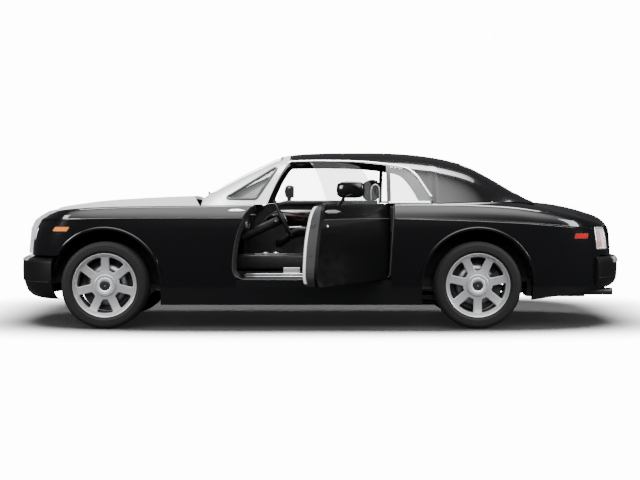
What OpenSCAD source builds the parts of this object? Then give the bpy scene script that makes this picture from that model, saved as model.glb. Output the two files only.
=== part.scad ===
// Two-door coupe with rear-hinged doors, one module per piece.
// X points to the rear, Y to the right-hand side, Z up. The origin is on the
// ground under the middle of the car. The left door is stored open.

/* [Overall] */
// Length over the bumpers
overall_l = 5612; // [5580:1:5640]
// Width over the doors
body_w = 1986; // [1970:1:2000]
// Height of the roof over the ground
roof_h = 1592; // [1575:1:1605]
// Distance between the axles
wheelbase = 3320; // [3300:1:3340]
// Front axle behind the nose of the bumper
front_overhang = 891; // [880:1:900]

/* [Wheels] */
// Tyre outer radius
tyre_r = 388; // [380:1:392]
// Tyre width over the side walls
tyre_w = 265; // [255:1:270]
// Bead seat radius of the rim
rim_r = 268; // [260:1:274]
// Distance between the two tyre middle planes
track = 1670; // [1660:1:1680]
// Number of spokes
spoke_count = 7; // [5:1:9]
// Thickness of a spoke
spoke_t = 24; // [18:1:30]
// Brake disc radius
disc_r = 187; // [170:1:195]
// Hub spindle radius
spindle_r = 34; // [30:1:40]
// Steering pin radius
king_r = 14; // [12:1:17]
// Steering pin inboard of the tyre middle plane
king_in = 115; // [110:1:120]
// Wheel arch radius
arch_r = 495; // [485:1:505]

/* [Fits] */
// Play of a turning pin in its eye, on the radius
turn_play = 0.05; // [0.03:0.01:0.1]
// Gap between pieces that are fixed to each other
seat_gap = 0.2; // [0.1:0.05:0.3]
// Visible gap round a door skin
shut_gap = 8; // [8:0.5:9]
// Further gap behind the door skin edge
inner_gap = 9; // [9:1:12]
// Gap round the bonnet and the boot lid
lid_gap = 6; // [6:0.5:8]

/* [Body side] */
// Underside of the rocker
sill_z = 214; // [205:1:225]
// Crease along the top of the rocker
crease_z = 372; // [365:1:380]
// Top of the door step
step_z = 436; // [430:1:440]
// Lower edge of the doors
door_z = 444; // [443:1:450]
// Inner face of the body side wall from the middle
wall_y = 800; // [790:1:806]
// Thickness of the outer panels
panel_t = 45; // [38:1:50]
// Top edge of the front bumper
bumper_z = 650; // [640:1:660]
// Front panels stand back from the bumper by
nose_step = 156; // [150:1:165]
// Tail panels stand back from the bumper by
tail_step = 106; // [100:1:112]

/* [Doors] */
// Angle of the left door as stored
door_open = 63; // [55:1:65]
// Thickness of a door below the glass
door_t = 138; // [125:1:145]
// Thickness of the door skin edge
skin_t = 28; // [24:1:32]
// Thickness of the lip that the door skin closes on
lip_t = 7; // [5:0.5:8]
// Hinge pin radius
hinge_r = 10; // [8:0.5:12]
// Height of a hinge arm
hinge_h = 50; // [44:1:56]
// Hinge axis behind the middle of the car
hinge_x = 560; // [555:1:565]
// Hinge axis inside the widest line of the body
hinge_in = 35; // [33:1:37]
// Lower hinge height
hinge_low_z = 570; // [560:5:600]
// Upper hinge height
hinge_up_z = 880; // [860:5:890]

/* [Lids] */
// Thickness of the bonnet and the boot lid
lid_t = 30; // [26:1:34]
// Radius of the lid hinge pins
lid_pin_r = 8; // [7:0.5:9]

/* [Greenhouse] */
// Thickness of the roof and the pillars
shell_t = 40; // [34:1:46]
// Glass thickness
glass_t = 5; // [4:0.5:6]
// Glass inside the outer surface
glass_in = 2; // [1:0.5:4]
// Gap round the fixed glass
glass_gap = 0.2; // [0.1:0.05:0.3]

/* [Frame] */
// Radius of the exhaust pipes
pipe_r = 32; // [28:1:34]
// Radius of the tie-down holes in the front rails
tie_r = 12; // [10:0.5:14]
// Station of the tie-down holes
tie_x = -2300; // [-2320:5:-2280]

/* [Cabin] */
// Top of the floor
floor_z = 272; // [268:1:276]
// Thickness of the floor plate
floor_t = 40; // [34:1:44]
// Half width of the tunnel
tunnel_y = 150; // [140:1:160]
// Top of the tunnel
tunnel_z = 470; // [455:1:480]
// Width of a front seat
seat_w = 540; // [520:1:560]
// Gap between a front seat and the tunnel
seat_side_gap = 5; // [3:1:12]
// Steering wheel radius
steer_r = 195; // [185:1:200]
// Steering wheel rim thickness radius
steer_rim_r = 13; // [11:0.5:15]

/* [Hidden] */
$fn = 64;
half_w = body_w / 2;
nose_x = -overall_l / 2;
tail_x = overall_l / 2;
axle_f = nose_x + front_overhang;
axle_r = axle_f + wheelbase;
wheel_y = track / 2;
wheel_z = tyre_r;
front_a = overall_l / 2 - nose_step;
rear_a = overall_l / 2 - tail_step;
king_y = wheel_y - king_in;
hinge_y = half_w - hinge_in;
seat_y = tunnel_y + seat_side_gap + seat_w / 2;
bonnet_back = -1068;
dash_x = -1140;
back_x = 1380;
boot_front = 1960;
boot_pin_x = boot_front + 24;
boot_pin_z = 1106;
bonnet_pin_z = 1100;
rail_y = 550;
rail_in = 480;
band_end = 2530;
boot_side = 579;
tail_y = 615;
rail_end = 2600;
arch_top = wheel_z + arch_r + 14;
radiator_x = -2545;
liner_t = 8;
kick_x = 1340;
grille_z = bumper_z + seat_gap;
grille_x = nose_x + 91;
grille_t = 92;

// Rails of the body, as rows of station and height
rail4_tb = [[-2660, 955], [-2400, 972], [-2000, 985], [-1000, 990], [600, 985], [1060, 973],
    [1418, 961], [1850, 939], [2300, 905], [2720, 872]];
rail5_tb = [[-2660, 998], [-2394, 1026], [-2287, 1046], [-1950, 1070], [-1064, 1083], [0, 1094],
    [1060, 1097], [1400, 1090], [1740, 1068], [1950, 1040], [2300, 985], [2720, 915]];
rail6_tb = [[-2660, 1030], [-2394, 1052], [-2200, 1070], [-1950, 1084], [-1064, 1097], [-480, 1108],
    [0, 1108], [650, 1111], [1060, 1120], [1400, 1130], [1760, 1130], [1960, 1112], [2200, 1070],
    [2450, 1010], [2640, 955], [2720, 925]];
rail6_in = [[-2200, 78], [900, 78], [1060, 92], [1400, 165], [1760, 280], [1960, 310], [2300, 300],
    [2720, 240]];
hood_tb = [[-2470, 1080], [-2300, 1106], [-2067, 1138], [-1531, 1174], [-1148, 1188], [-1000, 1192]];
crown_tb = [[-1140, 1108], [-1060, 1176], [-1000, 1222], [-766, 1363], [-536, 1478], [-383, 1546],
    [-230, 1575], [0, 1588], [230, 1592], [766, 1583], [1072, 1547], [1225, 1514], [1378, 1466], [1531, 1390],
    [1684, 1300], [1837, 1205], [1940, 1146]];
side_top_tb = [[-300, 1488], [45, 1493], [409, 1482], [546, 1468], [727, 1441]];
shut_front_tb = [[430, -722], [501, -769], [554, -778], [669, -769], [819, -743], [943, -699],
    [1040, -646], [1090, -584], [1112, -520], [1140, -462]];
shut_rear_tb = [[430, 618], [1054, 655], [1140, 658]];

function mix(a, b, t) = a + (b - a) * t;
function ramp(a, b, x) = let (t = min(1, max(0, (x - a) / (b - a)))) t * t * (3 - 2 * t);
function row(tb, x, i = 0) = i >= len(tb) - 2 || x < tb[i + 1][0] ? i : row(tb, x, i + 1);
function chord(tb, i) = (tb[i + 1][1] - tb[i][1]) / (tb[i + 1][0] - tb[i][0]);
function lean(tb, i) = i == 0 ? chord(tb, 0)
    : i == len(tb) - 1 ? chord(tb, i - 1)
    : (chord(tb, i - 1) + chord(tb, i)) / 2;
// Smooth curve through the rows of a table
function curve(tb, v) =
    let (x = min(max(v, tb[0][0]), tb[len(tb) - 1][0]), i = row(tb, x),
        h = tb[i + 1][0] - tb[i][0], t = (x - tb[i][0]) / h)
    tb[i][1] * (1 + 2 * t) * (1 - t) * (1 - t) + tb[i + 1][1] * t * t * (3 - 2 * t)
    + h * lean(tb, i) * t * (1 - t) * (1 - t) - h * lean(tb, i + 1) * t * t * (1 - t);
function steps(a, b, n) = [for (i = [0 : n]) a + (b - a) * i / n];

// Plan of the body: a rounded box whose ends are superellipses
function plan_a(x) = x < 0 ? front_a : rear_a;
function plan_n(x) = x < 0 ? 7 : 5;
function plan_m(x) = x < 0 ? 5.5 : 4.5;
function plan_y(x) = half_w * pow(1 - pow(min(abs(x) / plan_a(x), 0.99999), plan_n(x)), 1 / plan_m(x));
function side(x) = [x, plan_y(x)];
function nose(y) = [-front_a * pow(1 - pow(y / half_w, plan_m(-1)), 1 / plan_n(-1)), y];
function tail(y) = [rear_a * pow(1 - pow(y / half_w, plan_m(1)), 1 / plan_n(1)), y];
function plan_dir(p) =
    let (s = p[0], n = plan_n(s), m = plan_m(s), a = plan_a(s),
        g = [sign(s) * n * pow(abs(s) / a, n - 1) / a, m * pow(p[1] / half_w, m - 1) / half_w])
    g / norm(g);
function push(p, d, z) = let (q = p - d * plan_dir(p)) [q[0], -q[1], z];

// How far each level lies inside the plan line
function nose_f(x) = ramp(-2250, -2600, x);
function tail_f(x) = ramp(2250, 2650, x);
function ends_in(x, v, vn, vt) = mix(mix(v, vn, nose_f(x)), vt, tail_f(x));
function side_in(x, z) = z <= crease_z ? mix(60, 26, (z - sill_z) / (crease_z - sill_z))
    : curve([[crease_z, 26], [520, 9], [750, 0], [880, 1], [curve(rail4_tb, x), 6]], z);
function nose_in(z) = curve([[600, 0], [763, 10], [880, 38], [965, 82]], z);
function tail_in(z) = curve([[500, 0], [700, 6], [800, 20], [880, 44]], z);
function low_in(x, z) = ends_in(x, side_in(x, z), nose_in(z), tail_in(z));
function in4(x) = ends_in(x, 6, 78, 42);
function in5(x) = ends_in(x, 36, 135, 66);
function in6(x) = mix(curve(rail6_in, x), 205, nose_f(x));
function z4(x) = curve(rail4_tb, x);
function z5(x) = curve(rail5_tb, x);
function z6(x) = curve(rail6_tb, x);

// One column of the body side from height z0 to the shoulder, outer and inner face
function out_col(p, z0) = let (x = p[0]) concat(
    [for (z = [z0, mix(z0, z4(x), 0.18), mix(z0, z4(x), 0.38), mix(z0, z4(x), 0.58), mix(z0, z4(x), 0.8)])
        push(p, low_in(x, z), z)],
    [push(p, in4(x), z4(x)), push(p, in5(x), z5(x)),
        push(p, mix(in5(x), in6(x), 0.4), mix(z5(x), z6(x), 0.62)), push(p, in6(x), z6(x))]);
function in_col(p, z0, t) = let (x = p[0]) concat(
    [for (z = [z0, mix(z0, z4(x), 0.18), mix(z0, z4(x), 0.38), mix(z0, z4(x), 0.58), mix(z0, z4(x), 0.8)])
        push(p, low_in(x, z) + t, z)],
    [push(p, in4(x) + t, z4(x) - t / 4), push(p, in5(x) + t * 0.6, z5(x) - t * 0.8),
        push(p, max(mix(in5(x), in6(x), 0.5), in5(x) + t * 0.7), mix(z5(x), z6(x), 0.5) - t),
        push(p, in6(x), z6(x) - t)]);
function flat_col(p, z0, y) = [for (q = out_col(p, z0)) [q[0], -y, q[2]]];

function flat(a) = [for (r = a, p = r) p];
function volume6(p, f) = [for (t = f) cross(p[t[0]], p[t[1]]) * p[t[2]]] * [for (t = f) 1];
// Closed solid between an outer and an inner grid of points
module skin(outer, inner) {
    n = len(outer);
    m = len(outer[0]);
    k = n * m;
    p = concat(flat(outer), flat(inner));
    f = concat(
        [for (i = [0 : n - 2], j = [0 : m - 2], s = [0, 1])
            s == 0 ? [i * m + j, (i + 1) * m + j, (i + 1) * m + j + 1]
                : [i * m + j, (i + 1) * m + j + 1, i * m + j + 1]],
        [for (i = [0 : n - 2], j = [0 : m - 2], s = [0, 1])
            s == 0 ? [k + i * m + j, k + (i + 1) * m + j + 1, k + (i + 1) * m + j]
                : [k + i * m + j, k + i * m + j + 1, k + (i + 1) * m + j + 1]],
        [for (i = [0 : n - 2], s = [0, 1])
            s == 0 ? [i * m, k + i * m, k + (i + 1) * m] : [i * m, k + (i + 1) * m, (i + 1) * m]],
        [for (i = [0 : n - 2], s = [0, 1])
            s == 0 ? [i * m + m - 1, k + (i + 1) * m + m - 1, k + i * m + m - 1]
                : [i * m + m - 1, (i + 1) * m + m - 1, k + (i + 1) * m + m - 1]],
        [for (j = [0 : m - 2], s = [0, 1])
            s == 0 ? [j, k + j + 1, k + j] : [j, j + 1, k + j + 1]],
        [for (j = [0 : m - 2], s = [0, 1])
            s == 0 ? [(n - 1) * m + j, k + (n - 1) * m + j, k + (n - 1) * m + j + 1]
                : [(n - 1) * m + j, k + (n - 1) * m + j + 1, (n - 1) * m + j + 1]]);
    turned = volume6(p, f) > 0;
    polyhedron(p, [for (t = f) turned ? [t[0], t[2], t[1]] : t], convexity = 8);
}
// Meshed cuts of a panel
module cut() {
    resize([0, 0, 0]) children();
}
module both() {
    children();
    mirror([0, 1, 0]) children();
}
// Outline drawn in X and Z, taken through the left-hand side
module through(y0 = 0, y1 = 1300) {
    translate([0, -y0, 0]) rotate([90, 0, 0]) linear_extrude(y1 - y0) children();
}
module block(a, b) {
    translate(a) cube(b - a);
}
module bar_y(r, a, b) {
    translate([0, a, 0]) rotate([-90, 0, 0]) cylinder(r = r, h = b - a);
}

// Outlines in X and Z
module door_line() {
    zs = concat([door_z], steps(470, 1050, 8), steps(1080, 1140, 3));
    polygon(concat([for (z = zs) [curve(shut_front_tb, z), z]],
        [for (z = [1140, 1054, 950, 850, 750, 650, 550, door_z]) [curve(shut_rear_tb, z), z]]));
}
module arch_line(x, r = arch_r) {
    translate([x, wheel_z]) circle(r, $fn = 48);
    translate([x - r, -10]) square([2 * r, wheel_z + 10]);
}

// Floor pans, tunnel, bulkheads, boot floor and jack pads, each its own panel
module floor() color([0.16, 0.16, 0.17]) {
    low = floor_z - floor_t;
    both() {
        block([dash_x - 40, tunnel_y + seat_gap, low], [900, wall_y - seat_gap, floor_z]);
        block([900 + seat_gap, tunnel_y + seat_gap, low], [kick_x, rail_y, floor_z]);
        for (x = [-1050, 780]) translate([x, 740, sill_z])
            cylinder(r = 32, h = low - sill_z - seat_gap);
    }
    difference() {
        block([dash_x + seat_gap, -tunnel_y, low], [kick_x - 40 - seat_gap, tunnel_y, tunnel_z]);
        block([dash_x - 60, -tunnel_y + 40, low - 60], [kick_x + 60, tunnel_y - 40, tunnel_z - 40]);
    }
    block([kick_x - 40, -rail_y, floor_z + seat_gap], [kick_x, rail_y, 345]);
    block([kick_x - 40, -rail_in, 345 + seat_gap], [back_x + 40, rail_in, 385]);
    block([dash_x - 40, -wall_y + seat_gap, floor_z + seat_gap], [dash_x, wall_y - seat_gap, 1040]);
    rear_bulkhead();
    block([back_x + 40 + seat_gap, -rail_y, 471 + seat_gap], [rail_end, rail_y, 500]);
    parcel_shelf();
}
module rear_bulkhead() translate([back_x, 0, 0]) rotate([90, 0, 90]) linear_extrude(40) polygon([
    [-rail_in, 385 + seat_gap], [rail_in, 385 + seat_gap], [rail_in, 400], [rail_y, 400],
    [rail_y, arch_top], [690, arch_top], [690, 1000], [-690, 1000], [-690, arch_top], [-rail_y, arch_top],
    [-rail_y, 400], [-rail_in, 400]]);
// Shelf behind the rear seat with the towers and pins of the boot hinge
module parcel_shelf() {
    block([back_x + 40 + seat_gap, -rail_y, 985], [boot_pin_x + 12, rail_y, 1000]);
    both() block([boot_pin_x - 10, 302, 990], [boot_pin_x + 10, 330, boot_pin_z]);
    both() translate([boot_pin_x, 0, boot_pin_z]) bar_y(12, 302, 330);
    both() translate([boot_pin_x, 0, boot_pin_z]) bar_y(lid_pin_r, 246, 330);
}
// Front rails with their tie-down holes, and rear rails
module frame_rails() color([0.16, 0.16, 0.17]) both() {
    difference() {
        block([-2650, 400, 380], [dash_x - 40 - seat_gap, 470, 480]);
        translate([tie_x, 435, 430]) cylinder(r = tie_r, h = 120, center = true);
    }
    block([back_x + 40 + seat_gap, rail_in, 400], [rail_end, rail_y, 471]);
}

module rockers() color([0.03, 0.03, 0.04]) both() cut() intersection() {
    xs = concat([axle_f + arch_r + 1], steps(-1300, 800, 6), [axle_r - arch_r - 1]);
    zs = [sill_z, (sill_z + crease_z) / 2, crease_z, step_z];
    skin([for (x = xs) [for (z = zs) push(side(x), side_in(x, z), z)]],
        [for (x = xs) [for (z = zs) [x, -wall_y, z]]]);
    through() union() {
        translate([-2000, 0]) square([4000, crease_z - seat_gap]);
        intersection() {
            offset(delta = 14) door_line();
            translate([-1000, crease_z - 20]) square([2000, step_z - crease_z + 20]);
        }
        translate([curve(shut_front_tb, door_z) - 14, crease_z - 1])
            square([curve(shut_rear_tb, door_z) - curve(shut_front_tb, door_z) + 28, step_z - crease_z + 1]);
    }
}

fender_xs = [-2500, -2400, -2300, -2150, axle_f, -1700, -1550, axle_f + arch_r + liner_t + 2];
module fender_skin() {
    z0 = crease_z + seat_gap;
    p1 = concat([for (y = [340, 480, 620, 730, 810, 870]) nose(y)], [for (x = fender_xs) side(x)]);
    p2 = [for (x = concat([axle_f + arch_r + liner_t + 3], steps(-1300, -440, 7))) side(x)];
    skin(concat([for (p = p1) out_col(p, z0)], [for (p = p2) out_col(p, z0)]),
        concat([for (p = p1) in_col(p, z0, panel_t)], [for (p = p2) flat_col(p, z0, wall_y)]));
}
module front_fenders() color([0.03, 0.03, 0.04]) both() cut() difference() {
    fender_skin();
    through() union() {
        offset(delta = shut_gap) door_line();
        arch_line(axle_f);
        translate([-3000, 0]) square([3000 + axle_f, bumper_z + seat_gap]);
        translate([curve(shut_front_tb, door_z) - 14 - seat_gap, 0]) square([900, step_z + seat_gap]);
    }
    through(0, half_w - skin_t - 30) offset(delta = shut_gap + inner_gap) door_line();
    headlamp_box(seat_gap);
    translate([0, 0, 1045]) linear_extrude(200) bonnet_bay();
}
module bonnet_bay() {
    xs = steps(-1500, -1036, 6);
    polygon(concat([for (x = xs) [x, -plan_y(x) + in6(x) + 0.5]], [[-1036, -700], [-1500, -700]]));
}
module headlamp_box(g = 0) {
    block([-2720, -705 - g, 785 - g], [-2490, -400 + g, 895 + g]);
}

module quarter_skin() {
    z0 = crease_z - 140;
    wall_end = axle_r - arch_r - liner_t - 3;
    p1 = [for (x = steps(600, wall_end, 3)) side(x)];
    p2 = concat(
        [for (x = [wall_end + 1, 1000, 1130, 1270, axle_r, 1560, 1720]) side(x)],
        [for (x = [1900, 2100, 2250, 2400, 2500, 2570]) side(x)],
        [for (y = [700, tail_y]) tail(y)]);
    skin(concat([for (p = p1) out_col(p, z0)], [for (p = p2) out_col(p, z0)]),
        concat([for (p = p1) flat_col(p, z0, wall_y)], [for (p = p2) in_col(p, z0, panel_t)]));
}
module rear_quarters() color([0.03, 0.03, 0.04]) both() cut() difference() {
    quarter_skin();
    through() union() {
        offset(delta = shut_gap) door_line();
        arch_line(axle_r);
        translate([500, 0]) square([axle_r - 500, crease_z + seat_gap]);
        translate([band_end - seat_gap, 0]) square([500, bumper_z + seat_gap]);
        polygon([[1400, 0], [1400, 200], [1850, 250], [2560, 345], [2560, 0]]);
        translate([500, 0]) square([curve(shut_rear_tb, door_z) + 14 + seat_gap - 500, step_z + seat_gap]);
    }
    intersection() {
        through() offset(delta = shut_gap + inner_gap) door_line();
        skin([for (x = steps(560, 760, 2)) [for (q = out_col(side(x), 300)) q + [0, lip_t, -lip_t]]],
            [for (x = steps(560, 760, 2)) flat_col(side(x), 300, 600)]);
    }
    tail_lamp_box(seat_gap);
}
module tail_lamp_box(g = 0) {
    block([2490 - g, -850, 700 - g], [2800, -650 + g, 905 + g]);
}

// Greenhouse: one smooth surface over windscreen, roof and rear window
function base_y(x) = plan_y(x) - curve(rail6_in, x) - 6 + 30 * ramp(980, 1060, x);
function base_z(x) = z6(x) + 2.5 * seat_gap;
function crown(x) = max(curve(crown_tb, x) + roof_h - 1592, base_z(x) + 24);
function dome(x, t, d) =
    let (s = 1 - abs(t), u = 1 - s, yb = base_y(x) - d, zb = base_z(x), h = max(crown(x) - d - zb, 4),
        fy = u * u * u + 3 * u * u * s * 0.8 + 3 * u * s * s * 0.775,
        fz = 3 * u * u * s * 0.76 + 3 * u * s * s + s * s * s)
    [x, sign(t) * yb * fy, zb + h * fz];
dome_t = [-1, -0.86, -0.7, -0.55, -0.42, -0.25, 0, 0.25, 0.42, 0.55, 0.7, 0.86, 1];
module dome_shell(xs, d0, d1) {
    skin([for (x = xs) [for (t = dome_t) dome(x, t, d0)]], [for (x = xs) [for (t = dome_t) dome(x, t, d1)]]);
}
frame_xs = [-1110, -1060, -1000, -900, -770, -640, -520, -420, -340, -230];
roof_xs = [-300, -180, 0, 230, 450, 640, 800, 930, 1072, 1225, 1378, 1531, 1684, 1837, 1948];
// Side window opening, rear edge of the windscreen pillar to the rear pillar
module day_line() {
    polygon(concat([[-470, 1090], [-468, 1112], [-292, 1470]],
        [for (x = steps(-270, 720, 8)) [x, curve(side_top_tb, x)]],
        [[780, 1424], [830, 1392], [880, 1338], [1000, 1146], [996, 1130], [980, 1090]]));
}
module joint_line() {
    polygon([[-1200, 900], [-486, 900], [-472, 1112], [-296, 1470], [-272, 1490], [-272, 1700],
        [-1200, 1700]]);
}
module vent_line() {
    offset(r = 12) polygon([[-818, 1168], [-575, 1168], [-402, 1428]]);
}
module screen_plan() {
    offset(r = 40, $fn = 24)
        polygon(concat([for (y = steps(-655, 655, 8)) [-1040 + 110 * pow(y / 655, 2), y]],
            [[-390, 525], [-390, -525]]));
}
module cowl_plan() {
    polygon(concat([for (y = steps(-770, 770, 10)) [-1095 + 66 * pow(y / 770, 2), y]],
        [[-1036, 840], [-1036, 1000], [-1300, 1000], [-1300, -1000], [-1036, -1000], [-1036, -840]]));
}
module back_plan() {
    offset(r = 40, $fn = 24) polygon([[1330, -440], [1330, 440], [1790, 500], [1790, -500]]);
}

module windscreen_frame() color([0.75, 0.75, 0.77]) cut() difference() {
    intersection() {
        dome_shell(frame_xs, 0, shell_t);
        translate([0, 1200, 0]) through(0, 2400) offset(delta = -seat_gap) joint_line();
    }
    linear_extrude(2000) screen_plan();
    both() through() vent_line();
    linear_extrude(2000) cowl_plan();
}

module roof() color([0.03, 0.03, 0.04]) cut() difference() {
    dome_shell(roof_xs, 0, shell_t);
    translate([0, 1200, 0]) through(0, 2400) joint_line();
    both() through() day_line();
    linear_extrude(2000) back_plan();
}

module windscreen() color([0.25, 0.3, 0.32, 0.5]) cut() intersection() {
    dome_shell(frame_xs, glass_in, glass_in + glass_t);
    linear_extrude(2000) offset(delta = -glass_gap) screen_plan();
}

module rear_window() color([0.2, 0.23, 0.25, 0.5]) cut() intersection() {
    dome_shell(roof_xs, glass_in, glass_in + glass_t);
    linear_extrude(2000) offset(delta = -glass_gap) back_plan();
}

module side_glass() color([0.2, 0.23, 0.25, 0.5]) both() {
    cut() intersection() {
        dome_shell(frame_xs, glass_in, glass_in + glass_t);
        through() offset(delta = -glass_gap) vent_line();
    }
    cut() intersection() {
        dome_shell(roof_xs, glass_in, glass_in + glass_t);
        through() intersection() {
            offset(delta = -glass_gap) day_line();
            union() {
                translate([602, 1119]) square([500, 400]);
                translate([680, 1000]) square([500, 400]);
            }
        }
    }
}

module bonnet() color([0.75, 0.75, 0.77]) difference() {
    union() {
        cut() difference() {
            bonnet_skin();
            linear_extrude(2000)
                polygon(concat(
                    [for (y = steps(-960, 960, 12)) [bonnet_back - 110 * (1 - pow(y / 960, 2)), y]],
                    [[-900, 960], [-900, -960]]));
            both() block([bonnet_back - 45, 761, 1000], [bonnet_back + 60, 797, bonnet_pin_z + 18]);
        }
        both() translate([bonnet_back - 7, 0, bonnet_pin_z]) bar_y(14, 700, 760);
        both() block([bonnet_back - 90, 702, bonnet_pin_z - 12], [bonnet_back - 7, 758, bonnet_pin_z + 13]);
    }
    both() translate([bonnet_back - 7, 0, bonnet_pin_z]) bar_y(lid_pin_r + turn_play, 690, 800);
}
// Rail 6 of the fender, where the bonnet and boot lid lie
function rail6(p, g) = let (q = push(p, in6(p[0]) + g, 0)) [q[0], -q[1]];
module bonnet_skin() {
    ps = concat([for (y = [560, 680, 770]) nose(y)],
        [for (x = [-2420, -2300, -2100, -1850, -1600, -1350, -1150, bonnet_back]) side(x)]);
    e = [for (p = ps) rail6(p, lid_gap)];
    vs = [-1, -0.86, -0.66, -0.4, 0, 0.4, 0.66, 0.86, 1];
    function top(p, v) = let (a = z6(p[0]) - 2, c = max(curve(hood_tb, p[0]), a + 3))
        [min(p[0], bonnet_back), v * p[1], mix(c, a, pow(abs(v), 2.6))];
    skin([for (p = e) [for (v = vs) top(p, v)]], [for (p = e) [for (v = vs) top(p, v) - [0, 0, lid_t]]]);
}

module boot_lid() color([0.03, 0.03, 0.04]) difference() {
    union() {
        cut() difference() {
            boot_skin();
            both() block([boot_front - 20, 297, 1000], [boot_pin_x + 18, 335, boot_pin_z + 15]);
        }
        both() translate([boot_pin_x, 0, boot_pin_z]) bar_y(14, 240, 296);
    }
    both() translate([boot_pin_x, 0, boot_pin_z]) bar_y(lid_pin_r + turn_play, 230, 400);
}
boot_mid = [[boot_front + lid_gap, 1132], [2144, 1116], [2297, 1090], [2406, 1065], [2450, 1052], [2580, 1008],
    [2640, 968], [2668, 915], [2682, 840], [2690, 740], [2694, bumper_z + lid_gap]];
// Plan station whose rail 6 lies at x, up to the end of the quarter
function rail6_station(x, a, b, n = 14) = n == 0 ? (a + b) / 2
    : let (m = (a + b) / 2) rail6(side(m), lid_gap)[0] < x ? rail6_station(x, m, b, n - 1)
    : rail6_station(x, a, m, n - 1);
function boot_edge(i) =
    let (c = boot_mid[i], x = c[0] - i * 3, end = tail(tail_y), m = rail6_station(x, 1900, end[0]),
        e = rail6(side(m), lid_gap), d = plan_dir(end), over = max(0, x - e[0] - 1))
    i < 6 ? [x, e[1] + over * d[1] / d[0] - (i < 3 ? 0 : 2 * lid_gap), z6(m) - 2 - over / 6]
        : [c[0] - 42, boot_side, i == 6 ? 922 : min(c[1], 900)];
module boot_skin() {
    vs = [-1, -0.8, -0.5, 0, 0.5, 0.8, 1];
    function at(i, v) = let (c = boot_mid[i], e = boot_edge(i))
        [mix(c[0], e[0], pow(abs(v), 2.2)), v * e[1], mix(c[1], e[2], pow(abs(v), 2.6))];
    n = len(boot_mid) - 1;
    function off(i) = let (d = boot_mid[min(i + 1, n)] - boot_mid[max(i - 1, 0)])
        lid_t * [d[1], 0, -d[0]] / norm(d);
    skin([for (i = [0 : n]) [for (v = vs) at(i, v)]], [for (i = [0 : n]) [for (v = vs) at(i, v) + off(i)]]);
}

// Bumpers: wrapped bands over their own plan lines, swept back towards the corners
sweep = 300;
function band_plan(y, w) = let (q = min(y / w, 0.999)) (tail_x - sweep * q * q) * pow(1 - pow(q, 8), 1 / 8);
function band_front(y) = [-band_plan(y, half_w - 4), y];
function band_rear(y) = [band_plan(y, half_w - 30), y];
function band_lean(y, w) = (band_plan(y + 1, w) - band_plan(abs(y - 1), w)) / 2;
front_prof = [[252, 150], [268, 92], [310, 45], [380, 10], [450, 0], [560, 0], [606, 12], [640, 80],
    [bumper_z, 150]];
rear_prof = [[345, 90], [372, 40], [420, 8], [500, 0], [585, 0], [622, 14], [643, 60], [bumper_z, 110]];
function band(q, g, prof, t) = [for (r = prof) let (d = r[1] + t, k = g / norm(g))
    [q[0] - d * k[0], -(q[1] - d * k[1]), r[0]]];
front_ys = [0, 200, 400, 560, 680, 760, 820, 865, 900, 930];
rear_ys = [0, 200, 400, 560, 680, 760, 820];
function front_g(y) = [-1, -band_lean(y, half_w - 4)];
function rear_g(y) = [1, -band_lean(y, half_w - 30)];
module front_bumper() color([0.03, 0.03, 0.04]) cut() difference() {
    union() {
        both() skin([for (y = front_ys) band(band_front(y), front_g(y), front_prof, 0)],
            [for (y = front_ys) band(band_front(y), front_g(y), front_prof, 60)]);
        both() block([-2755, 410, 390], [-2650 - seat_gap, 460, 470]);
    }
    translate([0, 1200, 0]) through(0, 2400) arch_line(axle_f);
    block([-3000, -520, 320], [-2600, 520, 410]);
    translate([0, 1200, 0]) through(0, 2400) translate([-2380, 0]) square([900, 900]);
}
module rear_bumper() color([0.03, 0.03, 0.04]) cut() difference() {
    union() {
        both() skin([for (y = rear_ys) band(band_rear(y), rear_g(y), rear_prof, 0)],
            [for (y = rear_ys) band(band_rear(y), rear_g(y), rear_prof, 60)]);
        both() block([rail_end + seat_gap, 490, 410], [2725, 540, 465]);
    }
    translate([0, 1200, 0]) through(0, 2400) translate([1500, 0]) square([band_end - 1500, 900]);
}

module grille() color([0.8, 0.8, 0.82]) translate([grille_x, 0, 0]) {
    difference() {
        through(-330, 330) polygon([[0, grille_z], [22, 880], [60, 962], [124, 1010],
            [190, 1046], [272, 1064], [272, 1030], [142, 970], [grille_t, 900], [grille_t, grille_z]]);
        through(-290, 290)
            polygon([[-120, grille_z + 35], [-120, 930], [280, 930], [280, grille_z + 35]]);
    }
    for (i = [-11 : 11]) translate([0, i * 25, 0])
        through(-4, 4) polygon([[12, grille_z + 33], [40, 880], [62, 932], [grille_t - 2, 932],
            [grille_t - 2, grille_z + 33]]);
}

module radiator() color([0.12, 0.12, 0.13]) {
    block([grille_x + grille_t + seat_gap, -325, 662], [radiator_x + 40, 325, 895]);
    block([radiator_x, -325, 481], [radiator_x + 40, 325, 663]);
    block([radiator_x, -470, 480 + seat_gap], [radiator_x + 40, 470, 482]);
}

module front_lamps() color([0.8, 0.82, 0.85]) {
    both() cut() intersection() {
        ys = [390, 480, 560, 640, 715];
        zs = [780, 840, 900];
        skin([for (y = ys) [for (z = zs) push(nose(y), low_in(nose(y)[0], z), z)]],
            [for (y = ys) [for (z = zs) push(nose(y), low_in(nose(y)[0], z) + panel_t + 10, z)]]);
        headlamp_box();
    }
    both() marker(-2370, -2235, 888, 922, -22) fender_skin();
}
// Thin lens on the body side, seated on the panel given as child
module marker(x0, x1, z0, z1, slant) cut() difference() {
    xs = steps(x0 - 20, x1 + 20, 4);
    zs = steps(z0 - 5, z1 + 5, 2);
    intersection() {
        skin([for (x = xs) [for (z = zs) push(side(x), low_in(x, z) - 6, z)]],
            [for (x = xs) [for (z = zs) push(side(x), low_in(x, z) + 12, z)]]);
        through() polygon([[x0, z0], [x1, z0], [x1 + slant, z1], [x0 + slant, z1]]);
    }
    children();
}

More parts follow.
